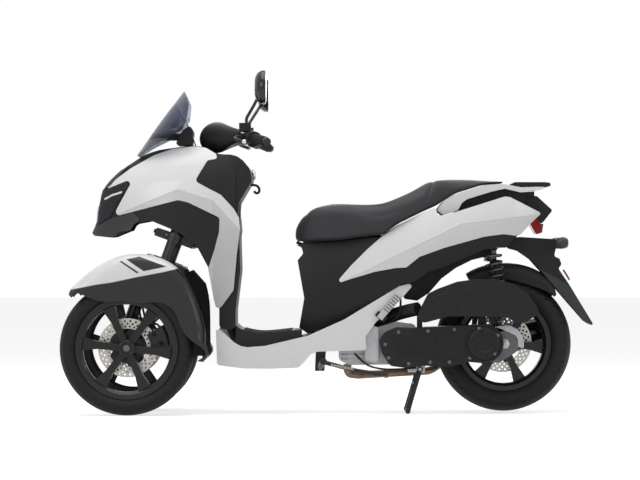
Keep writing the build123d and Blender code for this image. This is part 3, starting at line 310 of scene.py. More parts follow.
cast_alloy = finish("cast_aluminium", (0.36, 0.365, 0.375), 0.42, metallic=0.85, grain=(1100.0, 0.9, 0.5),
                    drift=0.2, wear=0.3, dust=0.05)
bright_steel = finish("zinc_steel", (0.52, 0.52, 0.5), 0.3, metallic=1.0, grain=(900.0, 0.4, 0.2), wear=0.2)
dark_steel = finish("dark_machined_steel", (0.10, 0.10, 0.105), 0.35, metallic=0.8, grain=(700.0, 0.4, 0.2),
                    wear=0.3)
header_steel = finish("heat_tinted_steel", (0.20, 0.135, 0.09), 0.38, metallic=0.85,
                      grain=(500.0, 0.5, 0.25), drift=0.35, wear=0.2)
soft_rubber = finish("moulded_rubber", (0.012, 0.012, 0.013), 0.66, grain=(1400.0, 0.6, 0.4), wear=0.15,
                     specular=0.2, wear_colour=(0.03, 0.03, 0.031), dust=0.03)
print("finishes made:", len(bpy.data.materials))


def dress(material, *nodes):
    """Make a material the only one of some CAD nodes."""
    for node in nodes:
        slots = cad_nodes[node].data.materials
        slots.clear()
        slots.append(material)


# %% [markdown]
# Tyre rubber is nearly black, a little brown where it is dry, and its tread is cut with curved
# grooves. The grooves could be modelled one by one; here their pattern is worked out from the angle
# round the axle and the place across the tread, and feeds both the bump and a painted shade in the grooves.

# %% Tyre finish
TREAD_DEPTH = 0.030     # how far in from the crown the grooved band reaches
WALL_BAND = 0.062       # how far in the ribbed ring on the side wall lies


def middle(node):
    """Middle of a CAD node's box, in metres."""
    low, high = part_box(node)
    return Vector([(a + b) / 2.0 for a, b in zip(low, high)])


def tyre_finish(name, node, half_tread, pitches):
    """Rubber with swept grooves round a tyre's own axle, in metres, with painted shade in the grooves."""
    low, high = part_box(node)
    radius = (high[2] - low[2]) / 2.0
    material = finish(name, (0.012, 0.0118, 0.0115), 0.62, grain=(1500.0, 0.5, 0.3), wear=0.15, dust=0.05,
                      specular=0.2, wear_colour=(0.03, 0.029, 0.028))
    tree = material.node_tree
    local = add_node(tree, "VectorMath", {0: place_in(tree), 1: middle(node)}, operation="SUBTRACT")
    x, y, z = split(tree, local.outputs[0])
    turn = calc(tree, "MULTIPLY", calc(tree, "ARCTAN2", z, x), pitches / (2.0 * math.pi))
    lean = calc(tree, "DIVIDE", calc(tree, "ABSOLUTE", y), half_tread)
    phase = calc(tree, "FRACT", calc(tree, "MULTIPLY_ADD", calc(tree, "POWER", lean, 1.6), 1.9, turn))
    # the land between grooves, the plain rib at the crown and the plain shoulder stay uncut
    land = map_range(tree, calc(tree, "ABSOLUTE", calc(tree, "SUBTRACT", phase, 0.5)), 0.06, 0.11)
    land = calc(tree, "MAXIMUM", land, map_range(tree, lean, 0.12, 0.2, 1.0, 0.0))
    land = calc(tree, "MAXIMUM", land, map_range(tree, lean, 0.93, 0.97))
    out = calc(tree, "SQRT", calc(tree, "ADD", calc(tree, "POWER", x, 2.0), calc(tree, "POWER", z, 2.0)))
    tread = map_range(tree, out, radius - TREAD_DEPTH - 0.004, radius - TREAD_DEPTH)
    groove = calc(tree, "MULTIPLY", calc(tree, "SUBTRACT", 1.0, land), tread)
    ribs = calc(tree, "SINE", calc(tree, "MULTIPLY", out, 1900.0))
    band = calc(tree, "COMPARE", out, radius - WALL_BAND, 0.004)
    depth = calc(tree, "MULTIPLY_ADD", calc(tree, "MULTIPLY", ribs, band), 0.25,
                 calc(tree, "MULTIPLY", groove, -3.0))
    add_bump(material, depth, 1.0, 0.0012)
    # painted shade: the grooves are coloured darker than the rubber, for the shade that falls in them
    recolour(material, groove, (0.006, 0.006, 0.006))
    return material


for side in ("left", "right"):
    dress(tyre_finish("front_tyre_rubber_" + side, "front_tyre_" + side, 0.045, 46), "front_tyre_" + side)
dress(tyre_finish("rear_tyre_rubber", "rear_tyre", 0.065, 40), "rear_tyre")

# %% [markdown]
# Fenders are one moulding in two colours: white above a line that sweeps forward, black below it,
# with a dark flash and stripe over the top. A second piece could carry the black, but on the real
# fender it is paint on the same shell, so it is painted here too, with a mask that follows the line.

# %% Fender finish
fender_white = finish("fender_two_tone", WHITE, 0.36, coat=0.15, grain=SMOOTH_PAINT, drift=0.02, wear=0.0,
                      dust=0.02, specular=0.3)
fender_tree = fender_white.node_tree
over_line = above_line(fender_tree, [
    (0.40, 0.60), (0.560, 0.545), (0.609, 0.533), (0.70, 0.516), (0.798, 0.495), (0.860, 0.486),
    (0.906, 0.477), (0.95, 0.468), (1.0, 0.46)])
flash = four_sided(fender_tree, mm((683, 536), (748, 580), (700, 590.5), (598, 553)))
stripe = four_sided(fender_tree, mm((708, 528), (773, 572), (766, 574.5), (700, 531)))
for mask, colour in ((calc(fender_tree, "SUBTRACT", 1.0, over_line), (0.012, 0.012, 0.0135)),
                     (stripe, (0.035, 0.035, 0.04)), (flash, (0.022, 0.022, 0.028))):
    recolour(fender_white, mask, colour)

# %% [markdown]
# The windscreen is smoke-tinted plastic: clear glass would look like a hole, a grey opaque sheet
# like card. It is a thin transmissive shader with a dark blue-grey tint, and black where it is
# painted along its lower edge to hide its screws.


# %% Clear finishes
def clear_finish(name, colour, roughness=0.03, alpha=1.0, transmission=1.0):
    """Tinted clear plastic."""
    material = new_material(name)
    tree, shader = surface(material)
    cloud = noise(tree, 14.0, 3.0)
    feed(tree, shader, {
        "Base Color": blend(tree, cloud, [c * 0.92 for c in colour], [min(1.0, c * 1.06) for c in colour]),
        "Roughness": map_range(tree, cloud, 0.0, 1.0, roughness, roughness + 0.03),
        "Transmission Weight": transmission, "IOR": 1.2, "Alpha": alpha})
    return material


smoke = clear_finish("smoke_tinted_plastic", (0.115, 0.13, 0.175), alpha=0.84)
screen_line = above_line(smoke.node_tree, mm(
    (500, 1085), (545, 1070), (600, 1035), (665, 992), (760, 955)), 0.004)
recolour(smoke, calc(smoke.node_tree, "SUBTRACT", 1.0, screen_line), (0.01, 0.01, 0.012))
lens_smoke = clear_finish("dark_lens", (0.05, 0.052, 0.06), 0.05, alpha=0.93, transmission=0.4)
lens_red = clear_finish("red_lens", (0.30, 0.006, 0.008), 0.06, alpha=0.95, transmission=0.45)
lens_turn = clear_finish("clear_turn_lens", (0.10, 0.085, 0.07), 0.08, alpha=0.95, transmission=0.3)

# %% [markdown]
# ## Give every CAD node its finish
# The nodes keep their meshes; only the material slots change.

# %% Dress the nodes
dress(fender_white, "fender_left", "fender_right")
dress(smoke, "windscreen")
dress(lens_smoke, "headlamps")
dress(lens_red, "rear_lamps")
dress(nose_white, "nose_cowl")
dress(tail_white, "tail_cowls")
dress(white, "skirts", "grab_rail")
dress(matte_black, "inner_nose", "leg_shield", "side_covers", "floorboard", "storage_box", "rear_mudguard",
      "handlebar_cover", "rear_carrier", "air_cleaner", "cvt_case", "controls", "seat")
dress(gloss_black, "mirrors", "exhaust")
dress(satin_black, "frame", "tilt_linkage", "fork_left", "fork_right", "tie_rod", "handlebar", "shocks",
      "centre_stand", "side_stand")
dress(wheel_black, "front_rim_left", "front_rim_right", "rear_rim")
dress(bright_steel, "front_disc_left", "front_disc_right", "rear_disc")
dress(dark_steel, "rear_brake")
dress(cast_alloy, "engine", "footpeg_left", "footpeg_right")

# %% [markdown]
# Some nodes are several solids of different stuff, such as the dark grey chins beside the black
# inner nose. Faces are given a second slot by where their middle lies, or whole solids by their box.


# %% Second materials by place
def paint(node, material, chosen):
    """Give the faces with these numbers another material slot."""
    mesh = cad_nodes[node].data
    mesh.materials.append(material)
    for number in chosen:
        mesh.polygons[number].material_index = len(mesh.materials) - 1
    print(node, "faces in", material.name + ":", len(chosen))


def paint_faces(node, material, test):
    """Paint the faces whose middle passes a test."""
    paint(node, material, [face.index for face in cad_nodes[node].data.polygons if test(face.center)])


def paint_solids(node, material, test):
    """Paint whole loose solids, chosen by the low and high corners of their boxes."""
    mesh = cad_nodes[node].data
    owner = list(range(len(mesh.vertices)))

    def root(i):
        while owner[i] != i:
            owner[i] = owner[owner[i]]
            i = owner[i]
        return i

    welded = {}
    for vertex in mesh.vertices:
        owner[vertex.index] = welded.setdefault(tuple(round(c, 5) for c in vertex.co), vertex.index)
    for face in mesh.polygons:
        first = root(face.vertices[0])
        for i in face.vertices[1:]:
            owner[root(i)] = first
    solids = {}
    for face in mesh.polygons:
        solids.setdefault(root(face.vertices[0]), []).append(face)
    chosen = []
    for faces in solids.values():
        spots = [mesh.vertices[i].co for face in faces for i in face.vertices]
        if test(*(Vector([pick(spot[k] for spot in spots) for k in range(3)]) for pick in (min, max))):
            chosen += [face.index for face in faces]
    paint(node, material, chosen)


paint_solids("inner_nose", chin_grey, lambda low, high: high.z < 0.80)
paint_faces("cvt_case", dark_steel, lambda c: c.x < -0.565 and c.y < 0.112)
paint_faces("rear_mudguard", chin_grey, lambda c: c.x < -0.87 and c.z < 0.5)
paint_solids("rear_lamps", lens_turn, lambda low, high: high.y < -0.05 or low.y > 0.05)
paint_faces("exhaust", header_steel, lambda c: c.x > -0.485)
paint_faces("engine", dark_steel, lambda c: c.y < -0.085)

# %% [markdown]
# ## Building pieces
# Detailed pieces are meshes made in code. A few helpers turn outlines into solids, points into
# smooth tubes, and a rule of angle and height into a turned form.


# %% Mesh helpers
def merge_meshes(name, parts):
    """One mesh from several, each alone or with a matrix that places it."""
    joined = bmesh.new()
    for part in parts:
        mesh, matrix = part if isinstance(part, tuple) else (part, Matrix.Identity(4))
        start = len(joined.verts)
        joined.from_mesh(mesh)
        joined.verts.ensure_lookup_table()
        for vertex in joined.verts[start:]:
            vertex.co = matrix @ vertex.co
    return mesh_of(joined, name)


def mesh_of(form, name):
    """Close an edit mesh and give it as a mesh."""
    mesh = bpy.data.meshes.new(name)
    form.to_mesh(mesh)
    form.free()
    return mesh


def new_piece(name, parts, material, body="chassis", smooth=True):
    """A piece from one mesh, or from a list to merge, in one material and riding on a body."""
    mesh = merge_meshes(name, parts) if isinstance(parts, list) else parts
    mesh.name = name
    piece = link_object(name, mesh)
    if smooth:
        for face in mesh.polygons:
            face.use_smooth = True
    mesh.materials.append(material)
    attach(piece, body)
    return piece


def evaluated_mesh(source):
    """Mesh of an object with its modifiers or bevel applied; the source object is removed."""
    bpy.context.view_layer.update()
    mesh = bpy.data.meshes.new_from_object(source.evaluated_get(bpy.context.evaluated_depsgraph_get()))
    bpy.data.objects.remove(source)
    return mesh


def tube(points, radius, steps=8, sides=3):
    """Smooth round tube along points."""
    curve = bpy.data.curves.new("path", "CURVE")
    curve.dimensions = "3D"
    curve.bevel_depth = radius
    curve.bevel_resolution = sides
    curve.use_fill_caps = True
    spline = curve.splines.new("NURBS")
    spline.points.add(len(points) - 1)
    for spot, point in zip(spline.points, points):
        spot.co = (*point, 1.0)
    spline.order_u = 3
    spline.use_endpoint_u = True
    spline.resolution_u = steps
    return evaluated_mesh(link_object("path", curve))


def plate(outline, holes, thickness, bevel=0.0004):
    """Flat plate in its own XY plane with holes, each loop a list of (x, y) points."""
    curve = bpy.data.curves.new("plate", "CURVE")
    curve.dimensions = "2D"
    curve.fill_mode = "BOTH"
    curve.extrude = thickness / 2.0 - bevel
    curve.bevel_depth = bevel
    curve.bevel_resolution = 1
    for loop in [outline] + holes:
        spline = curve.splines.new("POLY")
        spline.points.add(len(loop) - 1)
        for spot, (x, y) in zip(spline.points, loop):
            spot.co = (x, y, 0.0, 1.0)
        spline.use_cyclic_u = True
    return evaluated_mesh(link_object("plate", curve))


def ring(radius, count, centre=(0.0, 0.0), start=0.0):
    """Points of a circle."""
    angles = [start + 2 * math.pi * k / count for k in range(count)]
    return [(centre[0] + radius * math.cos(a), centre[1] + radius * math.sin(a)) for a in angles]


def turned(profile, count=48):
    """Solid of revolution about its own Z axis from (radius, height) points."""
    form = bmesh.new()
    rows = []
    for radius, height in profile:
        spots = ring(radius, count) if radius > 0.0 else [(0.0, 0.0)]
        rows.append([form.verts.new((x, y, height)) for x, y in spots])
    for low, high in zip(rows, rows[1:]):
        for k in range(count):
            n = (k + 1) % count
            corners = [low[k % len(low)], low[n % len(low)], high[n % len(high)], high[k % len(high)]]
            corners = list(dict.fromkeys(corners))
            if len(corners) > 2:
                form.faces.new(corners)
    bmesh.ops.recalc_face_normals(form, faces=form.faces)
    return mesh_of(form, "turned")


def beside(axle, y):
    """The point at one y on an axle given by its (x, z)."""
    return axle[0], y, axle[1]


SIDEWAYS = (0.0, 1.0, 0.0)


def facing(place, direction=SIDEWAYS, spin=0.0):
    """Matrix that puts a mesh's Z axis along a direction at a place."""
    aim = Vector(direction).to_track_quat("Z", "Y").to_matrix().to_4x4()
    return Matrix.Translation(Vector(place)) @ aim @ Matrix.Rotation(spin, 4, "Z")


def helix(foot, radius, turns, steps, low, height):
    """Points of a coil round a matrix's Z axis, from a height upwards."""
    points = []
    for k in range(turns * steps + 1):
        angle = 2 * math.pi * k / steps
        rise = low + height * k / (turns * steps)
        points.append(foot @ Vector((radius * math.cos(angle), radius * math.sin(angle), rise)))
    return points


def stepped(*points):
    """Closed profile from (radius, height) points whose ends are on the axis."""
    return [(0.0, points[0][1]), *points, (0.0, points[-1][1])]


# %% [markdown]
# ## Brake discs
# A real disc is a thin steel band drilled in three rows, carried by a spider of arms. The CAD solid
# is a plain band; a filled curve makes plates with true holes, so light passes through them.

# %% Discs
disc_steel = finish("drilled_disc_steel", (0.42, 0.40, 0.37), 0.3, metallic=1.0, grain=(900.0, 0.4, 0.2),
                    drift=0.15, wear=0.1, dust=0.02)
BAND_WIDTH = 0.038
HUB_RADIUS = 0.036
DRILL_RADIUS = 0.0042

for node, body in (("front_disc_left", "wheel_left"), ("front_disc_right", "wheel_right"),
                   ("rear_disc", "wheel_rear")):
    low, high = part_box(node)
    outer, thickness = (high[2] - low[2]) / 2.0, high[1] - low[1]
    inner = outer - BAND_WIDTH
    drilled = [ring(inner, 72)]
    for inset, offset in ((0.010, 0.0), (0.020, 0.5), (0.030, 0.0)):
        drilled += [ring(DRILL_RADIUS, 12, centre)
                    for centre in ring(outer - inset, 30, start=2 * math.pi * offset / 30)]
    spider = []
    for k in range(5):
        for step, reach in ((-0.30, -0.014), (-0.12, 0.006), (0.12, 0.006), (0.30, -0.014)):
            angle = 2 * math.pi * (k + step) / 5
            spider.append(((inner + reach) * math.cos(angle), (inner + reach) * math.sin(angle)))
    mesh = merge_meshes(node + "_detail", [plate(ring(outer, 120), drilled, thickness),
                                           plate(spider, [ring(HUB_RADIUS, 40)], thickness * 0.9)])
    centre = middle(node)
    mesh.transform(facing(centre))
    piece = new_piece(node + "_detail", mesh, disc_steel, body, smooth=False)
    mesh.materials.append(satin_black)
    for face in mesh.polygons:
        if math.hypot(face.center.x - centre.x, face.center.z - centre.z) < inner - 0.0005:
            face.material_index = 1
    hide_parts(node)

# %% [markdown]
# ## Shock springs
# The coils are what the eye finds behind the seat. A helix of points swept as a round wire gives
# true coils; the damper body inside and the cups at both ends are turned forms.

# %% Shocks
spring_black = finish("spring_black_paint", (0.014, 0.014, 0.015), 0.3, coat=0.3, wear=0.4,
                      wear_colour=(0.09, 0.09, 0.09))
SHOCK_Y = 0.112
COILS, COIL_RADIUS, WIRE_RADIUS = 8, 0.0262, 0.0042
shock_low = Vector((-0.655, 0.0, 0.345))
shock_top = Vector((-0.617, 0.0, 0.632))
lean = (shock_top - shock_low).normalized()
span = (shock_top - shock_low).length
parts = []
for y in (SHOCK_Y, -SHOCK_Y):
    foot = facing(shock_low + Vector((0.0, y, 0.0)), lean)
    coils = helix(foot, COIL_RADIUS, COILS, 16, 0.058, span - 0.105)
    parts.append(tube(coils, WIRE_RADIUS, steps=2, sides=2))
    parts.append((turned(stepped((0.018, 0.014), (0.020, 0.02), (0.020, 0.126), (0.017, 0.13), (0.008, 0.132),
                                 (0.008, span - 0.012)), 24), foot))
    for at in (0.048, span - 0.047):
        parts.append((turned(stepped((0.024, at), (0.031, at + 0.003), (0.031, at + 0.009),
                                     (0.024, at + 0.012)), 28), foot))
    for place in (shock_low, shock_top):
        eye = turned(mm((9.4, -10), (14, -10), (16, -8), (16, 8), (14, 10), (9.4, 10), (9.4, -10)), 24)
        parts.append((eye, facing(place + Vector((0.0, y, 0.0)))))
    parts.append((turned(stepped((0.011, span - 0.04), (0.011, span - 0.012)), 16), foot))
    parts.append((turned(stepped(*mm((12, 12), (12, 20))), 16), foot))
shocks = new_piece("shock_springs", parts, spring_black)
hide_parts("shocks")
print("shock faces:", len(shocks.data.polygons))

# %% [markdown]
# ## Seat
# The seat is foam under a stretched, coated fabric: crowned on top, drawn in at its seams, with a
# step up to the passenger. A copy of the CAD solid is remeshed, puffed up by a little air pressure in
# a cloth simulation, and held so that no point moves further than a few millimetres.

# %% Seat finish
seat_cover = finish("seat_cover_fabric", (0.026, 0.026, 0.03), 0.5, grain=(1100.0, 0.9, 0.5), drift=0.1,
                    wear=0.1, specular=0.3, wear_colour=(0.09, 0.09, 0.095), dust=0.05)
seat_tree, seat_shader = surface(seat_cover)
cells = add_node(seat_tree, "TexVoronoi", {"Vector": place_in(seat_tree), "Scale": 420.0},
                 feature="DISTANCE_TO_EDGE").outputs["Distance"]
add_bump(seat_cover, map_range(seat_tree, cells, 0.0, 0.12), 0.35, 0.0005)
feed(seat_tree, seat_shader, {"Sheen Weight": 0.08})

# %% Seat shape
PUFF_PRESSURE, PUFF_FRAMES, PUFF_CAP = 3.0, 14, 0.006
SEAM_WIDTH = 0.006
SEAT_EDGE = mm((-664, 866), (-583, 861), (-482, 829), (-403, 780), (-356, 759), (-265, 714), (-205, 672),
        (-166, 668), (-38, 652), (98, 646), (126, 652))

form = bmesh.new()
form.from_mesh(cad_nodes["seat"].data)
bmesh.ops.remove_doubles(form, verts=form.verts, dist=0.00002)
# the hinge knuckles under the front edge are hard, so the cushion is closed without them
knuckles = [v for v in form.verts if v.co.z < 0.6455 and v.co.x > 0.08 and abs(v.co.y) < 0.026]
bmesh.ops.delete(form, geom=knuckles, context="VERTS")
bmesh.ops.holes_fill(form, edges=form.edges, sides=0)
seat = link_object("seat_raw", mesh_of(form, "seat_raw"))
remesh = seat.modifiers.new("voxels", "REMESH")
remesh.mode = "VOXEL"
remesh.voxel_size = 0.006
smooth = seat.modifiers.new("soften", "CORRECTIVE_SMOOTH")
smooth.iterations = 12
smooth.smooth_type = "LENGTH_WEIGHTED"
smooth.use_only_smooth = True
seat = link_object("seat_soft", evaluated_mesh(seat))
print("seat vertices:", len(seat.data.vertices))


def puff(piece, pressure, frames, cap, hold):
    """Cloth with inner pressure; no point goes further than cap, and held points stay."""
    rest = [v.co.copy() for v in piece.data.vertices]
    group = piece.vertex_groups.new(name="held")
    group.add([i for i, co in enumerate(rest) if hold(co)], 1.0, "REPLACE")
    cloth = piece.modifiers.new("cloth", "CLOTH").settings
    cloth.quality = 5
    cloth.mass = 0.3
    cloth.use_pressure = True
    cloth.uniform_pressure_force = pressure
    cloth.vertex_group_mass = "held"
    cloth.effector_weights.gravity = 0.0
    cloth.tension_stiffness = 40.0
    cloth.compression_stiffness = 40.0
    cloth.bending_stiffness = 4.0
    for frame_number in range(1, frames + 1):
        scene.frame_set(frame_number)
    moved = piece.evaluated_get(bpy.context.evaluated_depsgraph_get()).data
    after = [v.co.copy() for v in moved.vertices]
    piece.modifiers.clear()
    scene.frame_set(1)
    furthest = 0.0
    for vertex, old, new in zip(piece.data.vertices, rest, after):
        step = new - old
        if step.length > cap:
            step *= cap / step.length
        furthest = max(furthest, step.length)
        vertex.co = old + step
    piece.vertex_groups.clear()
    return furthest


def seam_height(x):
    """Height of the seat pan's edge along the scooter, in metres."""
    for (x1, z1), (x2, z2) in zip(SEAT_EDGE, SEAT_EDGE[1:]):
        if x <= x2:
            return z1 + (z2 - z1) * (x - x1) / (x2 - x1)
    return SEAT_EDGE[-1][1]


travel = puff(seat, PUFF_PRESSURE, PUFF_FRAMES, PUFF_CAP, lambda co: co.z < seam_height(co.x) + 0.012)
print("seat points moved up to, mm:", round(1000 * travel, 1))
for vertex in seat.data.vertices:
    co = vertex.co
    # the cover is drawn in along one seam in front of the rider and one across the passenger's step
    front_seam = 0.098 - 0.35 * (co.z - 0.70)
    step_seam = -0.395 + 0.35 * (0.875 - co.z)
    near = max(math.exp(-((co.x - front_seam) / SEAM_WIDTH) ** 2) if co.z > 0.69 else 0.0,
               math.exp(-((co.x - step_seam) / SEAM_WIDTH) ** 2) if co.z > 0.80 else 0.0)
    inward = -0.004 * near * (1 if co.y > 0 else -1) * min(1.0, abs(co.y) / 0.08)
    vertex.co = co + Vector((0.0, inward, -0.0035 * near if co.z > seam_height(co.x) + 0.05 else 0.0))
finer = seat.modifiers.new("finer", "SUBSURF")
finer.levels = finer.render_levels = 1
seat_mesh = evaluated_mesh(seat)
seat_mesh.materials.clear()
seat = new_piece("seat_cushion", seat_mesh, seat_cover, "seat")
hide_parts("seat")

# %% [markdown]
# ## Trim that follows the panels
# Beads, lamp strips and folds lie on curved panels. Instead of guessing the third coordinate, each
# side-view line is dropped sideways onto the panel with a ray, and a thin tube follows the hits.

# %% Dropping lines onto a panel
RAY_START = 0.6


def skin_of(*nodes):
    """Ray-casting tree over some CAD nodes."""
    form = bmesh.new()
    for node in nodes:
        form.from_mesh(cad_nodes[node].data)
    tree = BVHTree.FromBMesh(form)
    form.free()
    return tree


def hits(skin, starts, way, reach=RAY_START):
    """Where rays from some points, all going one way, meet a skin; misses are left out."""
    found = [skin.ray_cast(Vector(start), Vector(way), reach)[0] for start in starts]
    return [spot for spot in found if spot is not None]


def bead(name, skin, points, radius, material, body="chassis", lift=0.0, sides=(1, -1), cuts=6):
    """A thin round bead on a skin, along (x, z) points seen from the left (+1) and right (-1)."""
    line = [(x1 + (x2 - x1) * (k / cuts), z1 + (z2 - z1) * (k / cuts))
            for (x1, z1), (x2, z2) in zip(points, points[1:]) for k in range(cuts)] + [points[-1]]
    tubes = []
    for side in sides:
        route = hits(skin, [(x, side * RAY_START, z) for x, z in line], (0, -side, 0))
        tubes.append(tube([spot + Vector((0, side * lift, 0)) for spot in route], radius, steps=3, sides=2))
    new_piece(name, tubes, material, body)


# %% [markdown]
# The headlamps are dark lenses with a bright light strip under a hood line, and a second strip at
# the front. A black strip runs from each lamp up to the screen.

# %% Lamp and nose trim
lamp_strip = finish("light_strip", (0.78, 0.79, 0.8), 0.2, coat=0.6, grain=(300.0, 0.1, 0.05), wear=0.0,
                    dust=0.0)
nose_skin = skin_of("nose_cowl", "inner_nose", "headlamps")
for name, radius, material, slot, points in (
        ("lamp_strips", 0.0042, lamp_strip, "lamp", mm((842, 806), (815, 820), (775, 832))),
        ("lamp_front_strips", 0.0035, lamp_strip, "lamp", mm((866, 786), (872, 752), (874, 716))),
        ("nose_strips", 0.0055, gloss_black, "black", mm((752, 930), (800, 884), (850, 836))),
        ("lamp_hood_lines", 0.0022, gloss_black, "black", mm((756, 868), (800, 852), (848, 834)))):
    bead(name, nose_skin, points, radius, material)

# %% [markdown]
# The white panels are folded along a line, which catches the light. A slim bead in the panel's own
# paint, sunk to half its width, gives the fold's edge a real form; the paint's crease turns the
# shading below it. The seat's lower edge has a round piping made the same way.

# %% Panel folds and seat piping
FOLD_RADIUS, FOLD_SINK = 0.0022, -0.0010
bead("tail_fold", skin_of("tail_cowls", "side_covers", "skirts"),
     mm((-180, 559), (-340, 637), (-500, 715), (-640, 731), (-750, 744)),
     FOLD_RADIUS, tail_white, lift=FOLD_SINK)
bead("cowl_fold", nose_skin, mm((790, 751), (690, 790), (560, 842), (430, 800), (395, 762)),
     FOLD_RADIUS, nose_white, lift=FOLD_SINK)
bead("seat_piping", skin_of("seat"),
     mm((-655, 869.5), (-583, 865), (-482, 833), (-403, 785), (-356, 764), (-265, 719), (-205, 677),
        (-166, 673), (-38, 657), (90, 651)), 0.0028, soft_rubber, "seat", cuts=5)

# %% [markdown]
# ## Belt-drive cover
# The cover carries a ring of flanged bolts, a round clutch housing with a raised rim, and thin ribs
# on its flat front field. Each piece gathers what rides on one body, so that it moves together.


# %% Bolts and screws
def bolt(radius, height):
    """Flanged hexagon bolt head, its foot on its own XY plane."""
    flange = stepped((radius * 1.35, 0.0), (radius * 1.35, height * 0.25), (radius * 1.1, height * 0.35))
    head = stepped((radius, height * 0.3), (radius, height * 0.9), (radius * 0.86, height))
    return merge_meshes("bolt", [turned(flange, 20), turned(head, 6)])


def screw(radius, height):
    """Domed screw with a socket, its foot on its own XY plane."""
    return turned(stepped((radius * 0.45, height * 0.45), (radius * 0.5, height * 0.95),
                          (radius * 0.7, height), (radius, height * 0.55), (radius, 0.0)), 20)


# %% Clutch rings, bolts and ribs
CLUTCH = (-0.581, 0.266)
face_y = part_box("cvt_case")[1][1]
case_skin = skin_of("cvt_case")
case_bolts = mm((-212, 262), (-225, 212), (-262, 308), (-300, 190), (-372, 312), (-380, 196), (-452, 196),
        (-470, 318), (-528, 212), (-562, 322), (-620, 228), (-632, 296))
bolt_places = hits(case_skin, [(x, RAY_START, z) for x, z in case_bolts], (0, -1, 0))
new_piece("case_bolts", [(bolt(0.0048, 0.006), facing(place)) for place in bolt_places], dark_steel,
          smooth=False)
rim = mm((60, 0), (73, 0), (73, 3), (69, 7), (64, 7), (60, 3), (60, 0))
cap = stepped(*mm((57, 0), (57, 2), (52, 5), (34, 5), (30, 2.5)))
rings = [(turned(rim, 64), facing(beside(CLUTCH, face_y - 0.011))),
         (turned(cap, 64), facing(beside(CLUTCH, face_y - 0.001)))]
rings += [(screw(0.004, 0.004), facing((x, face_y + 0.0035, z)))
          for x, z in ring(0.044, 6, CLUTCH, 0.3)]
new_piece("clutch_cover", rings, matte_black, smooth=False)
ribs = []
for x, z, length, tilt in (
        (-0.300, 0.285, 0.09, 0.05), (-0.300, 0.265, 0.10, 0.03), (-0.300, 0.245, 0.10, 0.0),
        (-0.300, 0.225, 0.09, -0.03), (-0.430, 0.300, 0.10, 0.06), (-0.430, 0.215, 0.10, -0.05)):
    outline = [(-length / 2, -0.0022), (length / 2, -0.0014), (length / 2, 0.0014), (-length / 2, 0.0022)]
    place = Matrix.Translation((x, face_y - 0.011, z)) @ Matrix.Rotation(-math.pi / 2, 4, "X")
    ribs.append((plate(outline, [], 0.006, 0.0008), place @ Matrix.Rotation(tilt, 4, "Z")))
new_piece("case_ribs", ribs, matte_black, smooth=False)

# %% [markdown]
# ## Mirrors, grips and reflector
# The mirror glass is set into the back of each shell. Grips are ribbed rubber sleeves over the bar,
# plainer than the real ones' hundreds of knobs but with the same rhythm of rings.

# %% Mirror glass, grips and levers
mirror_glass = finish("mirror_silver", (0.80, 0.81, 0.82), 0.03, metallic=1.0, grain=(200.0, 0.02, 0.0),
                      drift=0.0, wear=0.0, dust=0.01)
GRIP_LENGTH, GRIP_RINGS, GRIP_RADIUS, RING_HEIGHT = 0.098, 40, 0.0168, 0.0009
glasses, grips, levers = [], [], []
for side in (1, -1):
    glasses.append((plate([(0.055 * x, 0.054 * y) for x, y in ring(1.0, 48)], [], 0.002),
                    facing((0.2302, side * 0.328, 1.215), (-1, 0, 0))))
    tip = Vector((0.227, side * 0.369, 1.012))
    run = (tip - Vector((0.308, side * 0.190, 1.042))).normalized()
    sleeve = [(GRIP_RADIUS + RING_HEIGHT * (k % 2), k / GRIP_RINGS * GRIP_LENGTH)
              for k in range(GRIP_RINGS + 1)]
    sleeve = [(0.0155, 0.0), *sleeve, (0.0155, GRIP_LENGTH)]
    grips.append((turned(sleeve, 32), facing(tip - run * 0.111, run)))
    grips.append((turned(mm((12, 0), (21, 0), (22, 2), (21, 5), (16, 6)), 32),
                  facing(tip - run * 0.115, run)))
    base = tip - run * 0.148
    ball = mm((0, -9), (5, -7.5), (8.5, -3), (9, 0), (8.5, 3), (5, 7.5), (0, 9))
    levers.append((turned(ball, 20), facing(base + Vector((0.022, side * 0.118, -0.022)), run)))
    levers.append((turned(stepped(*mm((9, 0), (9, 4), (7.5, 6))), 20),
                   facing(base + Vector((0.03, 0.0, 0.013)), (0, 0, 1))))
new_piece("mirror_glass", glasses, mirror_glass, "steering", smooth=False)
new_piece("grips", grips, soft_rubber, "steering")
new_piece("lever_ends", levers, bright_steel, "steering")


# %% Rear reflector
def placed(mesh, place, direction, spin=0.0):
    """A mesh moved to a place with its Z axis along a direction."""
    mesh.transform(facing(place, direction, spin))
    return mesh


reflector = plate(ring(0.022, 40), [], 0.006, 0.0015)
new_piece("rear_reflector", placed(reflector, (-0.902, 0.0, 0.520), (-0.82, 0, 0.5)), lens_red,
          smooth=False)

# %% [markdown]
# ## Engine and its plumbing
# The CAD block gives the engine's size. What makes it read as an engine is the cooling fins on the
# case, the bolts along its seam, the intake duct to the air cleaner, and a few hoses and cables.

# %% Engine details
RIGHT = (0, -1, 0)
MAGNETO = (-0.235, 0.262)
fin = mm((-55, -38), (55, -38), (55, 36), (-55, 36))
drum = stepped(*mm((70, 0), (70, 14), (62, 22), (30, 24)))
engine_parts = [(plate(fin, [], 0.004, 0.0008), Matrix.Translation((-0.105, 0.040, 0.205 + 0.018 * k)))
                for k in range(7)]
engine_parts += [(bolt(0.006, 0.007), facing((x, 0.0757, z)))
                 for x, z in ((-0.06, 0.215), (-0.06, 0.315), (-0.155, 0.205), (-0.155, 0.325))]
engine_parts.append((turned(drum, 56), facing(beside(MAGNETO, -0.078), RIGHT)))
engine_parts += [(screw(0.004, 0.005), facing((x, -0.098, z), RIGHT)) for x, z in ring(0.063, 8, MAGNETO)]
new_piece("engine_fins_and_covers", engine_parts, cast_alloy, smooth=False)

# %% [markdown]
# Under the belt case sit a drain block and a swing-arm foot of bare aluminium. They are small
# castings with rounded edges, so a bevelled plate outline is enough.

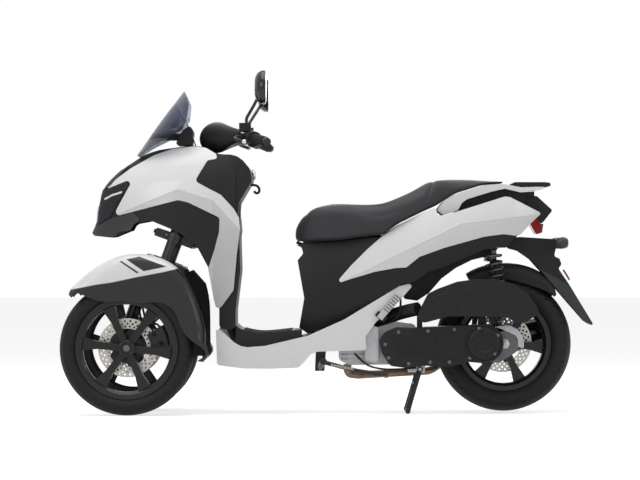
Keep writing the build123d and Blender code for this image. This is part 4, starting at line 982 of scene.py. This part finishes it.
# %% Castings under the case
UPRIGHT = Matrix.Rotation(math.pi / 2, 4, "X")      # stands a flat plate up in the side view
REAR_AXLE = (-0.6625, 0.262)
drain_block = mm((-30, -16), (26, -14), (30, 2), (18, 18), (-22, 20), (-32, 6))
arc = []
for radius, first, sweep in ((0.070, -40, 230), (0.048, 190, -230)):
    for k in range(15):
        angle = math.radians(first + sweep * k / 14)
        arc.append((radius * math.cos(angle), radius * math.sin(angle)))
new_piece("arm_castings", [
    (plate(drain_block, [ring(0.005, 16, (0.012, 0.0))], 0.050, 0.003),
     Matrix.Translation((-0.330, 0.060, 0.172)) @ UPRIGHT),
    (plate(arc, [], 0.020, 0.003), Matrix.Translation(beside(REAR_AXLE, 0.098)) @ UPRIGHT),
    (turned(stepped(*mm((20, 0), (20, 3), (14, 3), (14, 13), (9, 15))), 6),
     facing(beside(REAR_AXLE, 0.1085)))], cast_alloy, smooth=False)

# %% Hoses and cables at the engine
new_piece("engine_hoses", [tube(route, radius) for radius, route in (
    (0.008, mm((-75, 70, 345), (-85, 120, 372), (-130, 142, 402), (-180, 138, 440))),
    (0.005, mm((-120, 80, 335), (-150, 128, 352), (-190, 140, 375), (-230, 130, 440))),
    (0.004, mm((-200, 100, 335), (-240, 150, 345), (-275, 152, 380), (-270, 125, 455))),
    (0.0035, mm((-100, 78, 225), (-135, 110, 185), (-190, 118, 168), (-260, 112, 166), (-330, 100, 172))))],
    soft_rubber)
duct = mm((-175, 60, 345), (-230, 90, 365), (-290, 130, 385), (-335, 165, 395))
new_piece("intake_duct", tube(duct, 0.026, steps=10), matte_black)
new_piece("header_clamp", [(turned(mm((15.2, 0), (17.8, 0), (17.8, 14), (15.2, 14)), 32),
                            facing((-0.215, -0.1285, 0.142), (-1, -0.03, 0.05)))], header_steel)

# %% [markdown]
# ## Silencer
# A heat shield stands off the can. It is a curved sheet: a grid wrapped over part of the can's oval,
# thick enough to show its edge.

# %% Heat shield
SHIELD_ROWS, SHIELD_START, SHIELD_LENGTH = 20, 0.075, 0.250
can_low = Vector((-0.500, -0.168, 0.222))
can_axis = (Vector((-0.880, -0.168, 0.322)) - can_low).normalized()
across = Vector(SIDEWAYS)
can_turn = Matrix((across, can_axis.cross(across), can_axis)).transposed().to_4x4()
can_frame = Matrix.Translation(can_low) @ can_turn
shield = bmesh.new()
rows = []
for i in range(SHIELD_ROWS + 1):
    at = SHIELD_START + SHIELD_LENGTH * i / SHIELD_ROWS
    angles = [math.radians(degrees) for degrees in range(-42, 43, 6)]
    rows.append([shield.verts.new(can_frame @ Vector((-0.050 * math.cos(a), 0.058 * math.sin(a), at)))
                 for a in angles])
for low, high in zip(rows, rows[1:]):
    for k in range(len(low) - 1):
        shield.faces.new((low[k], low[k + 1], high[k + 1], high[k]))
bmesh.ops.recalc_face_normals(shield, faces=shield.faces)
sheet = link_object("sheet", mesh_of(shield, "sheet"))
sheet.modifiers.new("sheet", "SOLIDIFY").thickness = 0.0016
new_piece("heat_shield", evaluated_mesh(sheet), satin_black)

# %% [markdown]
# ## Front linkage
# Between the fenders and the nose, bolts, clamps and hoses show against the dark arms. Each fork
# carries a brake hose down to its caliper, clipped to the tube.

# %% Linkage bolts, fork hoses and hub caps
FRONT_AXLE = (0.7475, 0.250)
CASTER = math.radians(20.0)
VALVE_ANGLE, VALVE_REACH = 2.2, 0.164
axis_up = Vector((-math.sin(CASTER), 0.0, math.cos(CASTER)))
axis_fore = Vector((math.cos(CASTER), 0.0, math.sin(CASTER)))
head_mid = Vector((0.590566, 0.0, 0.618))


def on_axis(u, y, w):
    """Place given across, beside and along the steering axis, in metres."""
    return head_mid + axis_fore * u + Vector((0.0, y, 0.0)) + axis_up * w


link_bolts = []
for w in (-0.060, 0.043):
    for size, tall, u, y, way in ((0.009, 0.010, 0.079, 0.0, 1), (0.009, 0.010, -0.079, 0.0, -1),
                                  (0.006, 0.007, 0.0285, 0.150, 1), (0.006, 0.007, 0.0285, -0.150, 1)):
        link_bolts.append((bolt(size, tall), facing(on_axis(u, y, w), axis_fore * way)))
new_piece("linkage_bolts", link_bolts, dark_steel, smooth=False)
for side, body in ((1, "fork_left"), (-1, "fork_right")):
    outward = (0, side, 0)
    hose = [on_axis(0.045, side * 0.128, -0.135), on_axis(0.070, side * 0.132, -0.190),
            on_axis(0.030, side * 0.126, -0.260), on_axis(-0.015, side * 0.130, -0.330),
            (0.655, side * 0.150, 0.345), (0.640, side * 0.172, 0.305)]
    parts = [tube(hose, 0.0042, steps=10)]
    parts += [(bolt(0.0055, 0.006), facing((x, side * 0.2125, z), outward))
              for x, z in ((0.648, 0.300), (0.622, 0.268))]
    clip = [(0.0168, 0.0), (0.0188, 0.0), (0.0188, 0.006), (0.0168, 0.006), (0.0168, 0.0)]
    parts += [(turned(clip, 24), facing(on_axis(0.0215 + u, side * 0.150, w), axis_up))
              for u in (0.034, -0.034) for w in (-0.205, -0.235)]
    new_piece(body + "_hose", parts, soft_rubber, body)
    axle_nut = turned(stepped(*mm((19, 0), (19, 3), (12.5, 3), (12.5, 12), (8, 14))), 6)
    new_piece(body + "_axle_nut", placed(axle_nut, beside(FRONT_AXLE, side * 0.2607), outward),
              dark_steel, body, smooth=False)

for side, body in ((1, "wheel_left"), (-1, "wheel_right")):
    cap = mm((20.5, 0), (31, 0), (30, 4), (24, 5.5), (20.5, 3), (20.5, 0))
    valve = stepped((0.0045, 0.0), (0.0045, 0.012), (0.0035, 0.014), (0.0035, 0.026), (0.0042, 0.027),
                    (0.0042, 0.034))
    toward = Vector((math.cos(VALVE_ANGLE), 0.0, math.sin(VALVE_ANGLE)))
    valve_foot = Vector(beside(FRONT_AXLE, side * 0.235)) + toward * VALVE_REACH
    new_piece(body + "_cap", [
        (turned(cap, 40), facing(beside(FRONT_AXLE, side * 0.2645), (0, side, 0))),
        (turned(valve, 14), facing(valve_foot, -toward))], wheel_black, body)

# %% [markdown]
# ## Cockpit and floor
# A dark display fills the instrument hood, the key lock and a bag hook sit on the inner shield, and
# the floor has ribbed rubber mats where the feet rest.

# %% Cockpit
display = plate(mm((-58, -26), (58, -26), (64, 0), (52, 28), (-52, 28), (-64, 0)),
                [], 0.004, 0.001)
new_piece("display", placed(display, (0.5155, 0.0, 1.050), (-0.80, 0, 0.30), math.pi / 2), gloss_black,
          smooth=False)
shield_skin = skin_of("leg_shield")


def on_shield(y, z):
    """Rear face of the inner leg shield at a width and height."""
    return hits(shield_skin, [(-0.2, y, z)], (1, 0, 0), 1.0)[0]


lock = turned(stepped(*mm((21, 0), (21, 8), (16, 12), (11, 12), (10, 8))), 36)
new_piece("key_lock", placed(lock, on_shield(-0.085, 0.90), (-1, 0, 0.1)), bright_steel)
hook = [on_shield(0.0, 0.86) + Vector(step) for step in mm(
    (0, 0, 0), (-18, 0, 2), (-32, 0, -10), (-32, 0, -28), (-18, 0, -32), (-12, 0, -22))]
new_piece("bag_hook", tube(hook, 0.005), matte_black)
gap_black = finish("panel_gap_shadow", (0.006, 0.006, 0.006), 0.8, wear=0.0, dust=0.0)
lid = [on_shield(y, z) + Vector((0.0004, 0, 0)) for y, z in mm(
    (30, 800), (90, 800), (125, 790), (125, 700), (115, 660), (50, 655), (30, 670), (30, 750), (30, 800))]
new_piece("glovebox_gap", tube(lid, 0.0012, steps=4, sides=2), gap_black)

# %% Floor mats
floor_skin = skin_of("floorboard")
mats = []
for side in (1, -1):
    for k in range(8):
        y = side * (0.040 + 0.016 * k)
        route = [spot + Vector((0, 0, 0.0008)) for spot in hits(
            floor_skin, [(x, y, 0.6) for x in (0.135, 0.17, 0.21, 0.25, 0.29, 0.315)], (0, 0, -1))]
        if len(route) > 2:
            mats.append(tube(route, 0.0026, steps=3, sides=2))
new_piece("floor_mat_ribs", mats, soft_rubber)

# %% Stand spring and footpeg ribs
spring_low, spring_high = Vector((-0.010, 0.1685, 0.186)), Vector((-0.095, 0.1735, 0.170))
spring_run = spring_high - spring_low
spring = helix(facing(spring_low, spring_run), 0.0052, 16, 10, 0.0, spring_run.length)
new_piece("side_stand_spring", tube(spring, 0.0013, steps=2, sides=1), bright_steel, "side_stand")
along = Vector((-0.646790, 0.0, 0.762668))
across = Vector((0.762668, 0.0, 0.646790))
for side, body in ((1, "footpeg_left"), (-1, "footpeg_right")):
    rib_mids = [Vector((-0.197, side * 0.1845, 0.366)) + along * (0.030 + 0.011 * k) for k in range(7)]
    new_piece(body + "_ribs", [tube([at - across * 0.011, at, at + across * 0.011], 0.0018, steps=3, sides=1)
                               for at in rib_mids], soft_rubber, body)

# %% [markdown]
# ## Inner panels
# Behind the painted covers a scooter has dark inner mouldings: the wall under the grab rails, the
# arch over the rear wheel, the shroud between the front wheels and the rubber seal that the seat
# closes on. Without them daylight shows through the gaps. Each is a pair of thin plates cut to its
# side outline, because that is what such a moulding is.

# %% Inner plates
tail_wall = mm((-470, 776), (-502, 790), (-522, 805), (-613, 833), (-663, 844), (-700, 836), (-742, 822),
        (-742, 780), (-690, 800), (-660, 806), (-482, 750))
wheel_arch = mm((-640, 622), (-618, 596), (-540, 577), (-480, 547), (-426, 507), (-378, 452), (-335, 424),
        (-290, 430), (-272, 486), (-327, 502), (-376, 538), (-432, 556), (-582, 622))
nose_web = mm((510, 539), (469, 493), (453, 442), (450, 323), (450, 215), (515, 215), (550, 330), (555, 520))
seal = mm((98, 631), (-38, 631), (-160, 631), (-270, 631), (-270, 712), (-205, 671), (-166, 667),
        (-38, 651.5), (94, 645.5))
web_edges = [tube([(0.450, y, 0.217), (0.450, y, 0.323), (0.453, y, 0.442), (0.469, y, 0.491)], 0.004)
             for y in (-0.024, -0.012, 0.0, 0.012, 0.024)]
for name, outline, y, thickness, material, extra in (
        ("tail_inner_walls", tail_wall, 0.082, 0.004, matte_black, []),
        ("rear_inner_arch", wheel_arch, 0.074, 0.004, matte_black, []),
        ("front_inner_shroud", nose_web, 0.034, 0.004, matte_black, web_edges),
        ("seat_seal", seal, 0.0965, 0.003, soft_rubber, [])):
    plates = [(plate(outline, [], thickness), Matrix.Translation((0.0, side * y, 0.0)) @ UPRIGHT)
              for side in (1, -1)]
    new_piece(name, plates + extra, material, smooth=False)

# %% [markdown]
# ## Sculpted covers
# The drive cover and the air cleaner are stiffened by raised folds that catch the light. Round
# beads half sunk in the wall read as those folds and stay a few millimetres proud.

# %% Cover folds
cleaner_skin = skin_of("air_cleaner")
for name, skin, radius, lift, points in (
        ("drive_folds", case_skin, 0.0024, -0.0006,
         mm((-368, 318), (-254, 316), (-236, 289), (-262, 236), (-368, 234))),
        ("drive_folds_rear", case_skin, 0.0024, -0.0006,
         mm((-428, 317), (-399, 274), (-428, 220), (-500, 209))),
        ("cleaner_rim_fold", cleaner_skin, 0.003, -0.001,
         mm((-345, 372), (-402, 444), (-548, 466), (-700, 455), (-765, 392))),
        ("cleaner_inner_fold", cleaner_skin, 0.003, -0.001, mm((-528, 462), (-458, 384), (-360, 378)))):
    bead(name, skin, points, radius, matte_black, lift=lift, sides=(1,))

# %% [markdown]
# ## Studio
# A pale floor that shows white to the camera, a soft sky of even light, one large lamp above and
# weaker ones at the front, the rear and the far side. White comes from what the camera sees of the
# floor and the sky, not from more light on the scooter, so its panels keep their own shading.

# %% Floor, sky and lamps
FLOOR_HALF, FLOOR_Z = 30, -0.001
PURE_WHITE = (1.0, 1.0, 1.0, 1.0)


def seen_ray(tree):
    """One for rays that show the backdrop: from the camera, in a reflection or through glass."""
    rays = add_node(tree, "LightPath").outputs
    seen = calc(tree, "MAXIMUM", rays["Is Camera Ray"], rays["Is Glossy Ray"])
    return calc(tree, "MAXIMUM", seen, rays["Is Transmission Ray"])


floor_paper = new_material("floor_paper")
tree, shader = surface(floor_paper)
feed(tree, shader, {"Base Color": blend(tree, noise(tree, 3.0), (0.80, 0.80, 0.80), (0.83, 0.83, 0.83)),
                    "Roughness": 0.9, "Specular IOR Level": 0.0, "Emission Color": PURE_WHITE,
                    "Emission Strength": calc(tree, "MULTIPLY", seen_ray(tree), 0.62)})
floor_mesh = bpy.data.meshes.new("studio_floor")
floor_corners = [(x * FLOOR_HALF, y * FLOOR_HALF, FLOOR_Z) for x, y in ((-1, -1), (1, -1), (1, 1), (-1, 1))]
floor_mesh.from_pydata(floor_corners, [], [(0, 1, 2, 3)])
floor_mesh.materials.append(floor_paper)
link_object("studio_floor", floor_mesh)

world = bpy.data.worlds.new("studio_sky")
world.use_nodes = True
tree = world.node_tree
feed(tree, tree.nodes["Background"].inputs, {
    "Color": PURE_WHITE, "Strength": map_range(tree, seen_ray(tree), 0.0, 1.0, 0.36, 1.0)})
scene.world = world

for name, place, target, size, watts in (
        ("overhead", (0.4, 0.8, 4.2), (0.0, 0.0, 0.5), 3.2, 95.0),
        ("front_left", (3.2, 3.6, 2.2), (0.2, 0.0, 0.5), 1.8, 38.0),
        ("rear_left", (-3.6, 3.0, 1.8), (-0.2, 0.0, 0.5), 1.6, 24.0),
        ("far_side", (0.0, -4.0, 2.4), (0.0, 0.0, 0.6), 2.4, 35.0)):
    data = bpy.data.lights.new(name, "AREA")
    data.size = size
    data.energy = watts
    lamp = link_object(name, data)
    lamp.location = place
    lamp.rotation_euler = (Vector(target) - Vector(place)).to_track_quat("-Z", "Y").to_euler()

# %% [markdown]
# ## Last step
# The view layer is brought up to date.

# %% Update the view layer
bpy.context.view_layer.update()
